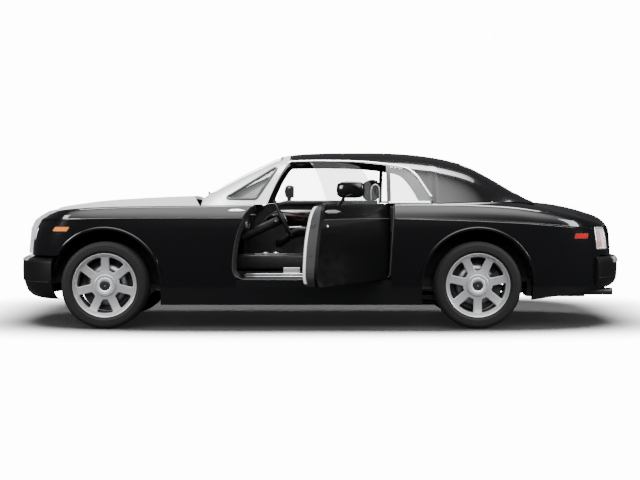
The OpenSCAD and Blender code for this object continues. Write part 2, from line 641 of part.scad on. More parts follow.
module tail_lamps() color([0.5, 0.05, 0.05]) {
    both() cut() intersection() {
        ps = concat([for (x = [2470, 2520]) side(x)], [for (y = [720, 680, 640]) tail(y)]);
        zs = [690, 800, 860, 910];
        skin([for (p = ps) [for (z = zs) push(p, low_in(p[0], min(z, z4(p[0]))), z)]],
            [for (p = ps) [for (z = zs) push(p, low_in(p[0], min(z, z4(p[0]))) + panel_t + 10, z)]]);
        tail_lamp_box();
    }
    both() marker(2275, 2400, 805, 845, 10) quarter_skin();
}

module cowl() color([0.05, 0.05, 0.055]) {
    block([dash_x + seat_gap, -wall_y + 60, 1040 + seat_gap], [-985, wall_y - 60, 1060]);
    block([dash_x - 40, -wall_y + seat_gap, 1040 + seat_gap], [dash_x + 1, wall_y - seat_gap, 1060]);
    both() {
        block([bonnet_back - 19, 720, 1041], [bonnet_back + 5, 790, 1059]);
        block([bonnet_back - 19, 766, 1045], [bonnet_back + 5, 790, bonnet_pin_z]);
        translate([bonnet_back - 7, 0, bonnet_pin_z]) bar_y(lid_pin_r, 706, 790);
        translate([bonnet_back - 7, 0, bonnet_pin_z]) bar_y(12, 766, 790);
    }
}

module dashboard() color([0.05, 0.05, 0.05]) {
    through(-wall_y + seat_gap, wall_y - seat_gap)
        polygon([[dash_x + seat_gap, 700], [dash_x + seat_gap, 1030], [-960, 1040], [-720, 1030], [-660, 985],
            [-670, 900], [-760, 760], [-860, 700]]);
    block([-900, -tunnel_y + 10, tunnel_z + seat_gap], [300, tunnel_y - 10, 640]);
    block([-900, -tunnel_y + 10, 560], [-800, tunnel_y - 10, 720]);
    steering_place() {
        translate([0, 0, -450]) cylinder(r = 45, h = 420);
        translate([0, 0, -40]) cylinder(r = king_r, h = 60);
    }
}
module steering_place() {
    translate([-345, -seat_y, 975]) rotate([0, 65, 0]) children();
}

module steering_wheel() color([0.04, 0.04, 0.04]) steering_place() {
    rotate_extrude() translate([steer_r - steer_rim_r, 0]) circle(steer_rim_r, $fn = 20);
    difference() {
        union() {
            translate([0, 0, -24]) cylinder(r = 62, h = 50);
            for (a = [0, 120, 240]) rotate([0, 0, a + 180])
                translate([40, -16, -6]) cube([steer_r - steer_rim_r - 40, 32, 12]);
        }
        translate([0, 0, -60]) cylinder(r = king_r + turn_play, h = 82);
    }
}

module seat_side(w) {
    translate([0, -w / 2, 0]) rotate([90, 0, 0]) translate([0, 0, -w]) linear_extrude(w) children();
}
module front_seats() color([0.06, 0.06, 0.065]) both() translate([0, -seat_y, 0]) {
    seat_side(seat_w) polygon([[-130, 480], [-150, 560], [-110, 600], [330, 560], [450, 1110], [500, 1130],
        [560, 1110], [480, 500], [420, 440], [0, 440]]);
    seat_side(300) polygon([[420, 1129], [410, 1310], [450, 1348], [540, 1340], [560, 1290], [540, 1109],
        [470, 1120]]);
    block([-60, -200, floor_z + seat_gap], [400, 200, 442]);
}

module rear_seat() color([0.06, 0.06, 0.065]) difference() {
    seat_side(1080) polygon([[760, floor_z + seat_gap], [760, 560], [790, 590], [1130, 560], [1230, 1080],
        [1300, 1090], [back_x - seat_gap, 1000], [back_x - seat_gap, tunnel_z + 100],
        [1100, floor_z + seat_gap]]);
    block([700, -tunnel_y - seat_gap, 0], [kick_x + 60, tunnel_y + seat_gap, tunnel_z + seat_gap]);
}

module engine() color([0.3, 0.3, 0.31])
    block([-2320, -330, 300 + seat_gap], [-1330, 330, 900]);

module exhaust() color([0.45, 0.45, 0.46]) both() {
    pipe_z = floor_z - floor_t - pipe_r - seat_gap;
    translate([-1000, 330, pipe_z]) rotate([0, 90, 0]) cylinder(r = pipe_r, h = 2500);
    translate([1480, 330, pipe_z + 2]) rotate([0, 75, 0]) cylinder(r = pipe_r - 2, h = 470);
    block([1900, 280, 262], [2430, 545, 400 - seat_gap]);
    translate([2425, 500, 308]) rotate([0, 90, 0]) cylinder(r = 34, h = 265);
}

module front_subframe() color([0.2, 0.2, 0.21]) translate([axle_f, 0, 0]) {
    block([-60, -420, 190], [60, 420, 300]);
    both() {
        block([-60, 405, 250], [60, 465, 380 - seat_gap]);
        block([-60, 405, 480 + seat_gap], [60, 465, 590]);
        block([-25, 415, wheel_z - 190], [25, king_y, wheel_z - 160]);
        block([-25, 455, wheel_z + 160], [25, king_y, wheel_z + 190]);
        translate([0, king_y, wheel_z - 190]) cylinder(r = 30, h = 30);
        translate([0, king_y, wheel_z + 160]) cylinder(r = 30, h = 30);
        translate([0, king_y, wheel_z - 165]) cylinder(r = king_r, h = 60);
        translate([0, king_y, wheel_z + 105]) cylinder(r = king_r, h = 60);
    }
}

// Left-hand hub carrier about the wheel centre, axis along Y outward, caliper at angle a
module carrier(a) {
    rotate([90, 0, 0]) {
        translate([0, 0, -140]) cylinder(r = spindle_r, h = 190);
        translate([0, 0, -134]) cylinder(r = 95, h = 62);
        rotate([0, 0, a - 35]) rotate_extrude(angle = 70)
            polygon([[80, -130], [225, -130], [225, -5], [125, -5], [125, -28], [193, -28], [193, -68],
                [125, -68], [125, -100], [80, -100]]);
    }
}
module knuckle() translate([axle_f, -wheel_y, wheel_z]) difference() {
    union() {
        carrier(212);
        block([-40, king_in - 36, -152], [40, king_in + 28, 152]);
    }
    for (z = [-156, 96]) translate([0, king_in, z]) cylinder(r = king_r + turn_play, h = 62);
}
module knuckle_left() color([0.35, 0.35, 0.36]) knuckle();
module knuckle_right() color([0.35, 0.35, 0.36]) mirror([0, 1, 0]) knuckle();

module rear_subframe() color([0.2, 0.2, 0.21]) translate([axle_r, 0, 0]) {
    block([-60, -500, 250], [60, 500, 340]);
    both() {
        block([-60, 485, 330], [60, 545, 400 - seat_gap]);
        translate([0, -wheel_y, wheel_z]) carrier(0);
        block([-40, -wheel_y + 74, wheel_z - 120], [40, -wheel_y + 138, wheel_z + 120]);
        block([-30, -wheel_y + 130, 268], [30, -480, 310]);
        block([-30, -wheel_y + 130, 402], [30, -rail_y - seat_gap, 440]);
    }
}

module wheel_liners() color([0.04, 0.04, 0.04]) both() {
    liner(axle_f, 470 + seat_gap);
    liner(axle_r, rail_y + seat_gap);
}
// Liner of one wheel arch, open below and outward, from the frame rail to behind the outer panel
module liner(x, y) intersection() {
    translate([x, 0, wheel_z]) difference() {
        translate([0, -y, 0]) rotate([90, 0, 0]) cylinder(r = arch_r + 1 + liner_t, h = half_w - y);
        translate([0, -y - liner_t, 0]) rotate([90, 0, 0]) cylinder(r = arch_r + 1, h = half_w);
        block([-34, -700, 152], [34, 0, 198]);
    }
    reach = arch_r + 20;
    translate([0, 0, wheel_z + 60]) linear_extrude(reach)
        polygon(concat([for (v = steps(x - reach, x + reach, 8)) [push(side(v), panel_t + 40, 0)[0],
            push(side(v), panel_t + 40, 0)[1]]], [[x + reach, 0], [x - reach, 0]]));
}

module tyre() rotate([90, 0, 0]) rotate_extrude($fn = 96) {
    h = tyre_w / 2;
    polygon([[rim_r + seat_gap, -110], [rim_r + 20, -110], [rim_r + 20, -h + 14], [rim_r + 32, -h + 5],
        [rim_r + 57, -h], [tyre_r - 36, -h + 1.5], [tyre_r - 10, -h + 10], [tyre_r - 2, -h + 20],
        [tyre_r, -h + 30], [tyre_r, h - 30], [tyre_r - 2, h - 20], [tyre_r - 10, h - 10],
        [tyre_r - 36, h - 1.5], [rim_r + 57, h], [rim_r + 32, h - 5], [rim_r + 20, h - 14],
        [rim_r + 20, 110], [rim_r + seat_gap, 110]]);
}
// Wheel with hub and disc about its centre, outer face to the left, first spoke at angle a
module wheel(a) rotate([90, 0, 0]) {
    rotate_extrude($fn = 96)
        polygon([[rim_r - 16, -118], [rim_r + 18, -118], [rim_r + 18, -110 - seat_gap],
            [rim_r, -110 - seat_gap], [rim_r, 110 + seat_gap], [rim_r + 18, 110 + seat_gap],
            [rim_r + 18, 118], [rim_r - 16, 118]]);
    rotate_extrude($fn = 96)
        polygon([[spindle_r + turn_play, -62], [disc_r, -62], [disc_r, -34], [72, -34], [72, 98], [0, 98],
            [0, 56], [spindle_r + turn_play, 56]]);
    translate([0, 0, 66]) linear_extrude(spoke_t) difference() {
        for (i = [0 : spoke_count - 1]) rotate(a + i * 360 / spoke_count)
            polygon([[0, -34], [rim_r - 10, -29], [rim_r - 10, 29], [0, 34]]);
        circle(60);
    }
}
module at_wheel(x, s) {
    if (s < 0) translate([x, -wheel_y, wheel_z]) children();
    else translate([x, wheel_y, wheel_z]) rotate([0, 0, 180]) children();
}
module tyre_front_left() color([0.05, 0.05, 0.05]) at_wheel(axle_f, -1) tyre();
module tyre_front_right() color([0.05, 0.05, 0.05]) at_wheel(axle_f, 1) tyre();
module tyre_rear_left() color([0.05, 0.05, 0.05]) at_wheel(axle_r, -1) tyre();
module tyre_rear_right() color([0.05, 0.05, 0.05]) at_wheel(axle_r, 1) tyre();
module wheel_front_left() color([0.7, 0.7, 0.72]) at_wheel(axle_f, -1) wheel(90);
module wheel_front_right() color([0.7, 0.7, 0.72]) at_wheel(axle_f, 1) wheel(90);
module wheel_rear_left() color([0.7, 0.7, 0.72]) at_wheel(axle_r, -1) wheel(-90);
module wheel_rear_right() color([0.7, 0.7, 0.72]) at_wheel(axle_r, 1) wheel(-90);

// Doors, drawn closed on the left; swing() turns them about their hinge
module swing(a) {
    translate([hinge_x, -hinge_y, 0]) rotate([0, 0, a]) translate([-hinge_x, hinge_y, 0]) children();
}
module hinge_spots() {
    for (z = [hinge_low_z, hinge_up_z]) translate([hinge_x, -hinge_y, z]) children();
}
module door() difference() {
    door_body();
    hinge_spots() {
        block([-24, -20, -hinge_h / 2 - 6], [140, 160, hinge_h / 2 + 6]);
        cylinder(r = hinge_r + turn_play, h = hinge_h + 70, center = true);
    }
}
module door_body() cut() {
    xs = concat([-790, -720, -640, -540], steps(-420, 540, 5), [620, 670]);
    intersection() {
        skin([for (x = xs) out_col(side(x), door_z)],
            [for (x = xs) [for (q = out_col(side(x), door_z)) [q[0], q[1] + skin_t, q[2]]]]);
        through() door_line();
    }
    intersection() {
        skin([for (x = xs) [for (q = out_col(side(x), door_z)) [q[0], q[1] + skin_t - 2, q[2]]]],
            [for (x = xs) flat_col(side(x), door_z, half_w - door_t)]);
        through() offset(delta = -inner_gap) door_line();
    }
}
module door_left() color([0.03, 0.03, 0.04]) swing(door_open) door();
module door_right() color([0.03, 0.03, 0.04]) mirror([0, 1, 0]) door();

module door_glass() cut() intersection() {
    dome_shell(concat([-480, -400], roof_xs), glass_in, glass_in + glass_t);
    through() intersection() {
        offset(delta = -shut_gap) day_line();
        translate([-600, 1000]) square([1186, 700]);
    }
}
module door_glass_left() color([0.2, 0.23, 0.25, 0.5]) swing(door_open) door_glass();
module door_glass_right() color([0.2, 0.23, 0.25, 0.5]) mirror([0, 1, 0]) door_glass();

module mirror_shape() cut() difference() {
    union() {
        translate([-316, -1060, 1232]) rotate([90, 0, 0]) translate([0, 0, -125]) linear_extrude(250)
            offset(r = 22, $fn = 24) square([60, 96], center = true);
        block([-345, -952, 1070], [-290, -base_y(-318) - glass_t, 1175]);
    }
    door_body();
}
module mirror_left() color([0.03, 0.03, 0.04]) swing(door_open) mirror_shape();
module mirror_right() color([0.03, 0.03, 0.04]) mirror([0, 1, 0]) mirror_shape();

module door_hinges() color([0.25, 0.25, 0.26]) both() for (z = [hinge_low_z, hinge_up_z])
    translate([hinge_x, -hinge_y, z]) {
        cylinder(r = hinge_r, h = hinge_h + 60, center = true);
        block([-12, -12, -hinge_h / 2], [12, 107, hinge_h / 2]);
        pillar_x = curve(shut_rear_tb, z - hinge_h / 2) + shut_gap + inner_gap - seat_gap;
        block([-12, 83, -hinge_h / 2], [pillar_x - hinge_x, 107, hinge_h / 2]);
    }

floor();
frame_rails();
rockers();
front_fenders();
rear_quarters();
roof();
windscreen_frame();
bonnet();
boot_lid();
front_bumper();
rear_bumper();
grille();
radiator();
front_lamps();
tail_lamps();
windscreen();
rear_window();
side_glass();
cowl();
dashboard();
front_seats();
rear_seat();
steering_wheel();
engine();
exhaust();
front_subframe();
rear_subframe();
wheel_liners();
door_hinges();
knuckle_left();
knuckle_right();
tyre_front_left();
tyre_front_right();
tyre_rear_left();
tyre_rear_right();
wheel_front_left();
wheel_front_right();
wheel_rear_left();
wheel_rear_right();
door_left();
door_glass_left();
mirror_left();
door_right();
door_glass_right();
mirror_right();
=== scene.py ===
import math
import bpy
import numpy as np
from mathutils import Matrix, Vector
from mathutils.geometry import delaunay_2d_cdt


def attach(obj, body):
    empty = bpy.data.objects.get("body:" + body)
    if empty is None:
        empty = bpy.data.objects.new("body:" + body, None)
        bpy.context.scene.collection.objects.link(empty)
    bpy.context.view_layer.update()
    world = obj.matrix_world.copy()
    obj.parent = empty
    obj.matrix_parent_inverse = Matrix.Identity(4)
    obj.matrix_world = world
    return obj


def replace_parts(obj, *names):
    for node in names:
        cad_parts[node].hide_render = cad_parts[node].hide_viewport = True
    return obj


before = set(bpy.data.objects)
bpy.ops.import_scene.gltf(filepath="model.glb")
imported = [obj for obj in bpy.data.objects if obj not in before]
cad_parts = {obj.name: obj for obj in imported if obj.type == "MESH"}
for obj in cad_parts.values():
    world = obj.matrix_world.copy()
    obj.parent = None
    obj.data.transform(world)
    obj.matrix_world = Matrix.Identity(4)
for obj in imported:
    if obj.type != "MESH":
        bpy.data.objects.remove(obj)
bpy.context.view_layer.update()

# Lengths here are millimetres in the frame of the part: X to the rear, Y to the right, Z up.
# mesh() turns them into metres.
MM = 0.001

# Driving sizes, as in the construction
HALF_W = 993.0
FRONT_A, REAR_A = 2650.0, 2700.0
NOSE_N, NOSE_M, TAIL_N, TAIL_M = 7.0, 5.5, 5.0, 4.5
TAIL_X = 2806.0
AXLE_F, AXLE_R, WHEEL_Y, WHEEL_Z, ARCH_R = -1915.0, 1405.0, 835.0, 388.0, 495.0
SILL_Z, CREASE_Z, STEP_Z, DOOR_Z, BUMPER_Z = 214.0, 372.0, 436.0, 444.0, 650.0
WALL_Y, PANEL_T, DOOR_T, SKIN_T, SHELL_T = 800.0, 45.0, 138.0, 28.0, 40.0
SHUT_GAP, INNER_GAP, LID_GAP, SEAT_GAP, LID_T = 8.0, 9.0, 6.0, 0.2, 30.0
GLASS_IN, GLASS_T = 2.0, 5.0
HINGE_X, HINGE_Y, DOOR_OPEN = 560.0, 958.0, 63.0
BONNET_BACK, BOOT_FRONT = -1068.0, 1960.0
SHOULDER, STEP_IN = 190.0, 14.0
DOOR_WALL = -(HALF_W - DOOR_T)
SPOKES = 7

RAIL4 = [[-2660, 955], [-2400, 972], [-2000, 985], [-1000, 990], [600, 985], [1060, 973],
         [1418, 961], [1850, 939], [2300, 905], [2720, 872]]
RAIL5 = [[-2660, 998], [-2394, 1026], [-2287, 1046], [-1950, 1070], [-1064, 1083], [0, 1094],
         [1060, 1097], [1400, 1090], [1740, 1068], [1950, 1040], [2300, 985], [2720, 915]]
RAIL6 = [[-2660, 1030], [-2394, 1052], [-2200, 1070], [-1950, 1084], [-1064, 1097], [-480, 1108],
         [0, 1108], [650, 1111], [1060, 1120], [1400, 1130], [1760, 1130], [1960, 1112], [2200, 1070],
         [2450, 1010], [2640, 955], [2720, 925]]
RAIL6_IN = [[-2200, 78], [900, 78], [1060, 92], [1400, 165], [1760, 280], [1960, 310], [2300, 300],
            [2720, 240]]
HOOD = [[-2470, 1080], [-2300, 1106], [-2067, 1138], [-1531, 1174], [-1148, 1188], [-1000, 1192]]
CROWN = [[-1140, 1108], [-1060, 1176], [-1000, 1222], [-766, 1363], [-536, 1478], [-383, 1546],
         [-230, 1575], [0, 1588], [230, 1592], [766, 1583], [1072, 1547], [1225, 1514], [1378, 1466],
         [1531, 1390], [1684, 1300], [1837, 1205], [1940, 1146]]
SIDE_TOP = [[-300, 1488], [45, 1493], [409, 1482], [546, 1468], [727, 1441]]
SHUT_FRONT = [[430, -722], [501, -769], [554, -778], [669, -769], [819, -743], [943, -699],
              [1040, -646], [1090, -584], [1112, -520], [1140, -462]]
SHUT_REAR = [[430, 618], [1054, 655], [1140, 658]]
SIDE_IN = [[372, 26], [520, 9], [750, 0], [880, 1], [985, 6]]
NOSE_IN = [[600, 0], [763, 10], [880, 38], [965, 82]]
TAIL_IN = [[500, 0], [700, 6], [800, 20], [880, 44]]


# Curves and the body's surfaces
def mix(a, b, t):
    return a + (b - a) * t


def ramp(a, b, x):
    t = np.clip((x - a) / (b - a), 0, 1)
    return t * t * (3 - 2 * t)


def curve(rows, v):
    """Smooth curve through rows of station and value, level past its ends."""
    xs, ys = np.array(rows, float).T
    chord = np.diff(ys) / np.diff(xs)
    lean = np.concatenate([chord[:1], (chord[:-1] + chord[1:]) / 2, chord[-1:]])
    x = np.clip(np.asarray(v, float), xs[0], xs[-1])
    i = np.clip(np.searchsorted(xs, x, side="right") - 1, 0, len(xs) - 2)
    h = xs[i + 1] - xs[i]
    t = (x - xs[i]) / h
    return (ys[i] * (1 + 2 * t) * (1 - t) ** 2 + ys[i + 1] * t * t * (3 - 2 * t)
            + h * lean[i] * t * (1 - t) ** 2 - h * lean[i + 1] * t * t * (1 - t))


def plan_shape(x):
    """Half length of the plan line's end at x, and its powers along and across."""
    return (np.where(x < 0, nose, tail)
            for nose, tail in ((FRONT_A, REAR_A), (NOSE_N, TAIL_N), (NOSE_M, TAIL_M)))


def plan_y(x):
    x = np.asarray(x, float)
    a, n, m = plan_shape(x)
    return HALF_W * (1 - np.minimum(np.abs(x) / a, 0.99999) ** n) ** (1 / m)


def nose_x(y):
    return -FRONT_A * (1 - (np.asarray(y, float) / HALF_W) ** NOSE_M) ** (1 / NOSE_N)


def tail_x(y):
    return REAR_A * (1 - (np.asarray(y, float) / HALF_W) ** TAIL_M) ** (1 / TAIL_N)


def plan_dir(x, y):
    """Outward direction of the plan line."""
    a, n, m = plan_shape(x)
    gx = np.sign(x) * n * (np.abs(x) / a) ** (n - 1) / a
    gy = m * (y / HALF_W) ** (m - 1) / HALF_W
    g = np.hypot(gx, gy)
    return gx / g, gy / g


def make_plan():
    """The plan line from the nose round the left-hand side to the tail, with its length from X = 0."""
    turn = 860.0
    y = np.linspace(200, turn, 160)
    front = np.column_stack([nose_x(y), y])
    x = np.linspace(nose_x(turn), tail_x(turn), 1400)[1:-1]
    back = np.column_stack([tail_x(y), y])[::-1]
    line = np.vstack([front, np.column_stack([x, plan_y(x)]), back])
    s = np.concatenate([[0], np.cumsum(np.hypot(*np.diff(line, axis=0).T))])
    middle = np.argmin(np.abs(line[:, 0]))
    return line, s - s[middle]


PLAN, PLAN_S = make_plan()


def s_of_x(x):
    return np.interp(x, PLAN[:, 0], PLAN_S)


def x_of_s(s):
    return np.interp(s, PLAN_S, PLAN[:, 0])


def s_of_nose(y):
    return np.interp(y, PLAN[:200, 1], PLAN_S[:200])


def s_of_tail(y):
    return np.interp(y, PLAN[::-1][:200, 1], PLAN_S[::-1][:200])


def nose_part(x):
    """0 along the sides, rising to 1 at the nose."""
    return ramp(-2250, -2600, x)


def ends_in(x, v, vn, vt):
    """Inset v along the sides, vn at the nose and vt at the tail."""
    return mix(mix(v, vn, nose_part(x)), vt, ramp(2250, 2650, x))


def rail6_in(x):
    return mix(curve(RAIL6_IN, x), 205, nose_part(x))


def low_in(x, z):
    below = mix(60, 26, (z - SILL_Z) / (CREASE_Z - SILL_Z))
    side = np.where(z <= CREASE_Z, below, curve(SIDE_IN, z))
    return ends_in(x, side, curve(NOSE_IN, z), curve(TAIL_IN, z))


def shoulder(x, k):
    """Inset and height along the shoulder, k from 0 at the waist line to 1 at the upper rail."""
    d4, d5 = ends_in(x, 6, 78, 42), ends_in(x, 36, 135, 66)
    d6 = rail6_in(x)
    z4, z5, z6 = curve(RAIL4, x), curve(RAIL5, x), curve(RAIL6, x)
    pts = [np.stack([d4, z4]), np.stack([d5, z5]),
           np.stack([mix(d5, d6, 0.4), mix(z5, z6, 0.62)]), np.stack([d6, z6])]
    unit = [(b - a) / np.maximum(np.hypot(*(b - a)), 1e-6) for a, b in zip(pts, pts[1:])]
    start = np.stack([np.full_like(d4, 0.08), np.ones_like(d4)])
    lean = [mix(start, unit[0], 0.3), unit[0] + unit[1], unit[1] + unit[2], unit[2]]
    lean = [v / np.hypot(*v) for v in lean]
    cuts = [0, 0.55, 0.8, 1]
    out = np.zeros_like(pts[0])
    for j in range(3):
        on = (k >= cuts[j]) & (k <= cuts[j + 1]) if j == 2 else (k >= cuts[j]) & (k < cuts[j + 1])
        t = np.clip((k - cuts[j]) / (cuts[j + 1] - cuts[j]), 0, 1)
        size = np.hypot(*(pts[j + 1] - pts[j]))
        p = (pts[j] * (1 + 2 * t) * (1 - t) ** 2 + pts[j + 1] * t * t * (3 - 2 * t)
             + size * lean[j] * t * (1 - t) ** 2 - size * lean[j + 1] * t * t * (1 - t))
        out = np.where(on, p, out)
    return out


def side_point(uv, inset=0.0):
    """Body side at plan length and level; a level past the waist line runs along the shoulder."""
    s, v = np.asarray(uv, float).T
    x = x_of_s(s)
    y = np.interp(s, PLAN_S, PLAN[:, 1])
    z4 = curve(RAIL4, x)
    k = np.clip((v - z4) / SHOULDER, 0, 1)
    ds, zs = shoulder(x, k)
    d = np.where(v <= z4, low_in(x, np.minimum(v, z4)), ds) + inset
    z = np.where(v <= z4, v, zs)
    dx, dy = plan_dir(x, y)
    return np.column_stack([x - d * dx, -(y - d * dy), z])


def level(x, z):
    """Level of side_point at a real height."""
    x, z = np.broadcast_arrays(np.asarray(x, float), np.asarray(z, float))
    z4 = curve(RAIL4, x)
    ks = np.linspace(0, 1, 41)
    out = z.astype(float).copy()
    for i in np.ndindex(x.shape):
        if z[i] > z4[i]:
            hs = shoulder(np.full(41, x[i]), ks)[1]
            out[i] = z4[i] + SHOULDER * np.interp(z[i], hs, ks)
    return out


def waist_level(s):
    return float(curve(RAIL4, x_of_s(s)))


def rail_level(x):
    return curve(RAIL4, x) + SHOULDER


def base_y(x):
    return plan_y(x) - curve(RAIL6_IN, x) - 6 + 30 * ramp(980, 1060, x)


def base_z(x):
    return curve(RAIL6, x) + 0.5


def dome_point(uv, inset=0.0):
    """Greenhouse at station x and cross parameter t, from -1 at the left base to 1 at the right one."""
    x, t = np.asarray(uv, float).T
    u = np.abs(t)
    s = 1 - u
    zb = base_z(x)
    h = np.maximum(np.maximum(curve(CROWN, x), zb + 24) - inset - zb, 4)
    fy = u ** 3 + 3 * u * u * s * 0.8 + 3 * u * s * s * 0.775
    fz = 3 * u * u * s * 0.76 + 3 * u * s * s + s ** 3
    return np.column_stack([x, np.sign(t) * (base_y(x) - inset) * fy, zb + h * fz])


DOME_T = np.linspace(0, 1, 101)


def dome_section(x):
    return dome_point(np.column_stack([np.full(101, x), DOME_T]))


def t_of_z(x, z):
    """Cross parameter on the left-hand side where the greenhouse has that height."""
    return -np.interp(-z, -dome_section(x)[:, 2], DOME_T)


def t_of_y(x, y):
    return math.copysign(np.interp(abs(y), dome_section(x)[:, 1], DOME_T), y)


# Meshes
def unit_rows(v):
    return v / np.maximum(np.linalg.norm(v, axis=1), 1e-9)[:, None]


def circle(n):
    return np.linspace(0, 2 * math.pi, n, endpoint=False)


def flipped(faces):
    return [f[::-1] for f in faces]


def normals(point, uv, scale=(1.0, 1.0)):
    du, dv = np.array([0.5 * scale[0], 0]), np.array([0, 0.5 * scale[1]])
    return unit_rows(np.cross(point(uv + du) - point(uv - du), point(uv + dv) - point(uv - dv)))


def inside(points, loop):
    x, y = points[:, 0], points[:, 1]
    hit = np.zeros(len(points), bool)
    for (ax, ay), (bx, by) in zip(loop, np.roll(loop, -1, axis=0)):
        if ay != by:
            hit ^= ((ay > y) != (by > y)) & (x < (bx - ax) * (y - ay) / (by - ay) + ax)
    return hit


def dense(loop, step):
    """The loop with points no further apart than step, which may differ by direction."""
    loop = np.asarray(loop, float)
    out = []
    for a, b in zip(loop, np.roll(loop, -1, axis=0)):
        n = max(1, int(math.ceil(np.hypot(*((b - a) / step)))))
        out += [a + (b - a) * i / n for i in range(n)]
    return np.array(out)


def within(points, loops):
    """Which points lie in the first loop and in none of the others."""
    keep = inside(points, loops[0])
    for hole in loops[1:]:
        keep &= ~inside(points, hole)
    return keep


RIM_CLEAR = 0.3     # square of the share of a step that grid points keep from the rim


def fill(loops, step, rows=None):
    """Triangles over the first loop without the others, on a grid whose rows may follow a line."""
    step = np.asarray(step, float)
    loops = [dense(p, step) for p in loops]
    rim = np.vstack(loops)
    low, high = loops[0].min(0), loops[0].max(0)
    gx, gy = (np.arange(low[i] + step[i] / 2, high[i], step[i]) for i in (0, 1))
    if rows is None:
        grid = np.array([(x, y) for x in gx for y in gy]).reshape(-1, 2)
    else:
        off = np.concatenate([np.arange(-40, 41) * step[1], [-7, 7]])
        grid = np.array([(x, rows(x) + d) for x in gx for d in off])
    grid = grid[within(grid, loops)]
    if len(grid):
        near = np.full(len(grid), 1e9)
        for p in rim:
            near = np.minimum(near, (((grid - p) / step) ** 2).sum(1))
        grid = grid[near > RIM_CLEAR]
    edges, n = [], 0
    for p in loops:
        edges += [(n + i, n + (i + 1) % len(p)) for i in range(len(p))]
        n += len(p)
    pts = [Vector(p) for p in np.vstack([rim, grid]) / step]
    vs, _, fs, _, _, _ = delaunay_2d_cdt(pts, edges, [], 0, 1e-7)
    uv = np.array([v[:] for v in vs]) * step
    mid = np.array([uv[list(f)].mean(0) for f in fs])
    return uv, [f for f, good in zip(fs, within(mid, loops)) if good]


def rims(faces):
    """Edges that only one face has, in that face's direction."""
    seen = {}
    for f in faces:
        for a, b in zip(f, list(f[1:]) + [f[0]]):
            seen[(a, b)] = seen.get((a, b), 0) + 1
    return [(a, b) for a, b in seen if (b, a) not in seen]


def mesh(name, points, faces, mats, body, slots=None, shade=None):
    """One piece from points in millimetres; slots gives the material of each face, shade its normals."""
    data = bpy.data.meshes.new(name)
    data.from_pydata((np.asarray(points, float) * MM).tolist(), [], [list(f) for f in faces])
    for m in mats if isinstance(mats, list) else [mats]:
        data.materials.append(m)
    if slots is not None:
        data.polygons.foreach_set("material_index", np.asarray(slots, np.int32))
    data.polygons.foreach_set("use_smooth", np.full(len(data.polygons), True))
    data.validate()
    data.update()
    if shade is not None:
        data.normals_split_custom_set_from_vertices(np.asarray(shade, float).tolist())
    obj = bpy.data.objects.new(name, data)
    bpy.context.scene.collection.objects.link(obj)
    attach(obj, body)
    return obj


class Build:
    """Collects points, faces, materials and normals of one piece."""

    def __init__(self):
        self.p, self.f, self.m, self.n = [], [], [], []

    def add(self, points, faces, m=0, shade=None):
        k = sum(len(a) for a in self.p)
        points = np.asarray(points, float)
        self.p.append(points)
        self.n.append(np.zeros_like(points) if shade is None else np.asarray(shade, float))
        self.f += [[i + k for i in f] for f in faces]
        self.m += [m] * len(faces)

    def turned(self, move):
        """The same piece through a function of its points that keeps lengths."""
        out = Build()
        p = np.vstack(self.p)
        q = move(p)
        n = move(p + np.vstack(self.n)) - q
        flip = np.linalg.det(move(np.eye(3)) - move(np.zeros((1, 3)))) < 0
        out.add(q, flipped(self.f) if flip else self.f, 0, n)
        out.m = list(self.m)
        return out

    def join(self, other):
        k = sum(len(a) for a in self.p)
        self.p += other.p
        self.n += other.n
        self.f += [[i + k for i in f] for f in other.f]
        self.m += other.m

    def piece(self, name, mats, body, slot=None):
        return mesh(name, np.vstack(self.p), self.f, mats, body, self.m, np.vstack(self.n))


def put(build, shape, move, m=0):
    """Adds points and faces through a move of the points."""
    points, faces = shape
    build.add(move(points), faces, m)


def mirrored(p):
    return p * np.array([1, -1, 1])


def swung(p):
    """Turns the left door from closed to its stored angle."""
    a = math.radians(DOOR_OPEN)
    c, s = math.cos(a), math.sin(a)
    hinge = np.array([HINGE_X, -HINGE_Y, 0])
    q = p - hinge
    return np.column_stack([c * q[:, 0] - s * q[:, 1], s * q[:, 0] + c * q[:, 1], q[:, 2]]) + hinge


def door_pair(build, name, mats, slot=None):
    """A closed left door's piece on the open left door, and its mirror image on the right one."""
    return (build.turned(swung).piece(name % "left", mats, "door_left", slot=slot),
            build.turned(mirrored).piece(name % "right", mats, "door_right", slot=slot))


def edge_strip(build, top, under, faces, m):
    """Quads between the rims of two sheets with the same faces."""
    side, quads = [], []
    for a, b in rims(faces):
        k = len(side)
        side += [top[b], top[a], under[a], under[b]]
        quads.append((k, k + 1, k + 2, k + 3))
    build.add(side, quads, m)


def panel(build, loops, step, outer, inner, mats=(0, 0, 0), scale=(1.0, 1.0), rows=None):
    """Closed panel: the outer face with its true normals, the inner face and the edges between."""
    uv, faces = fill(loops, step, rows)
    po, pi = outer(uv), inner(uv)
    n = normals(outer, uv, scale)
    a, b, c = faces[0]
    if np.dot(np.cross(po[b] - po[a], po[c] - po[a]), n[a]) < 0:
        n = -n
    if np.mean((n * (po - pi)).sum(1)) < 0:
        faces = flipped(faces)
        n = -n
    build.add(po, faces, mats[0], n)
    build.add(pi, flipped(faces), mats[1])
    edge_strip(build, po, pi, faces, mats[2])


def sheet(build, loop, step, point, top, under, m=0, scale=(1.0, 1.0)):
    """Panel of one material between two depths of a surface."""
    panel(build, [loop], step, lambda uv: point(uv, top), lambda uv: point(uv, under), (m, m, m), scale)


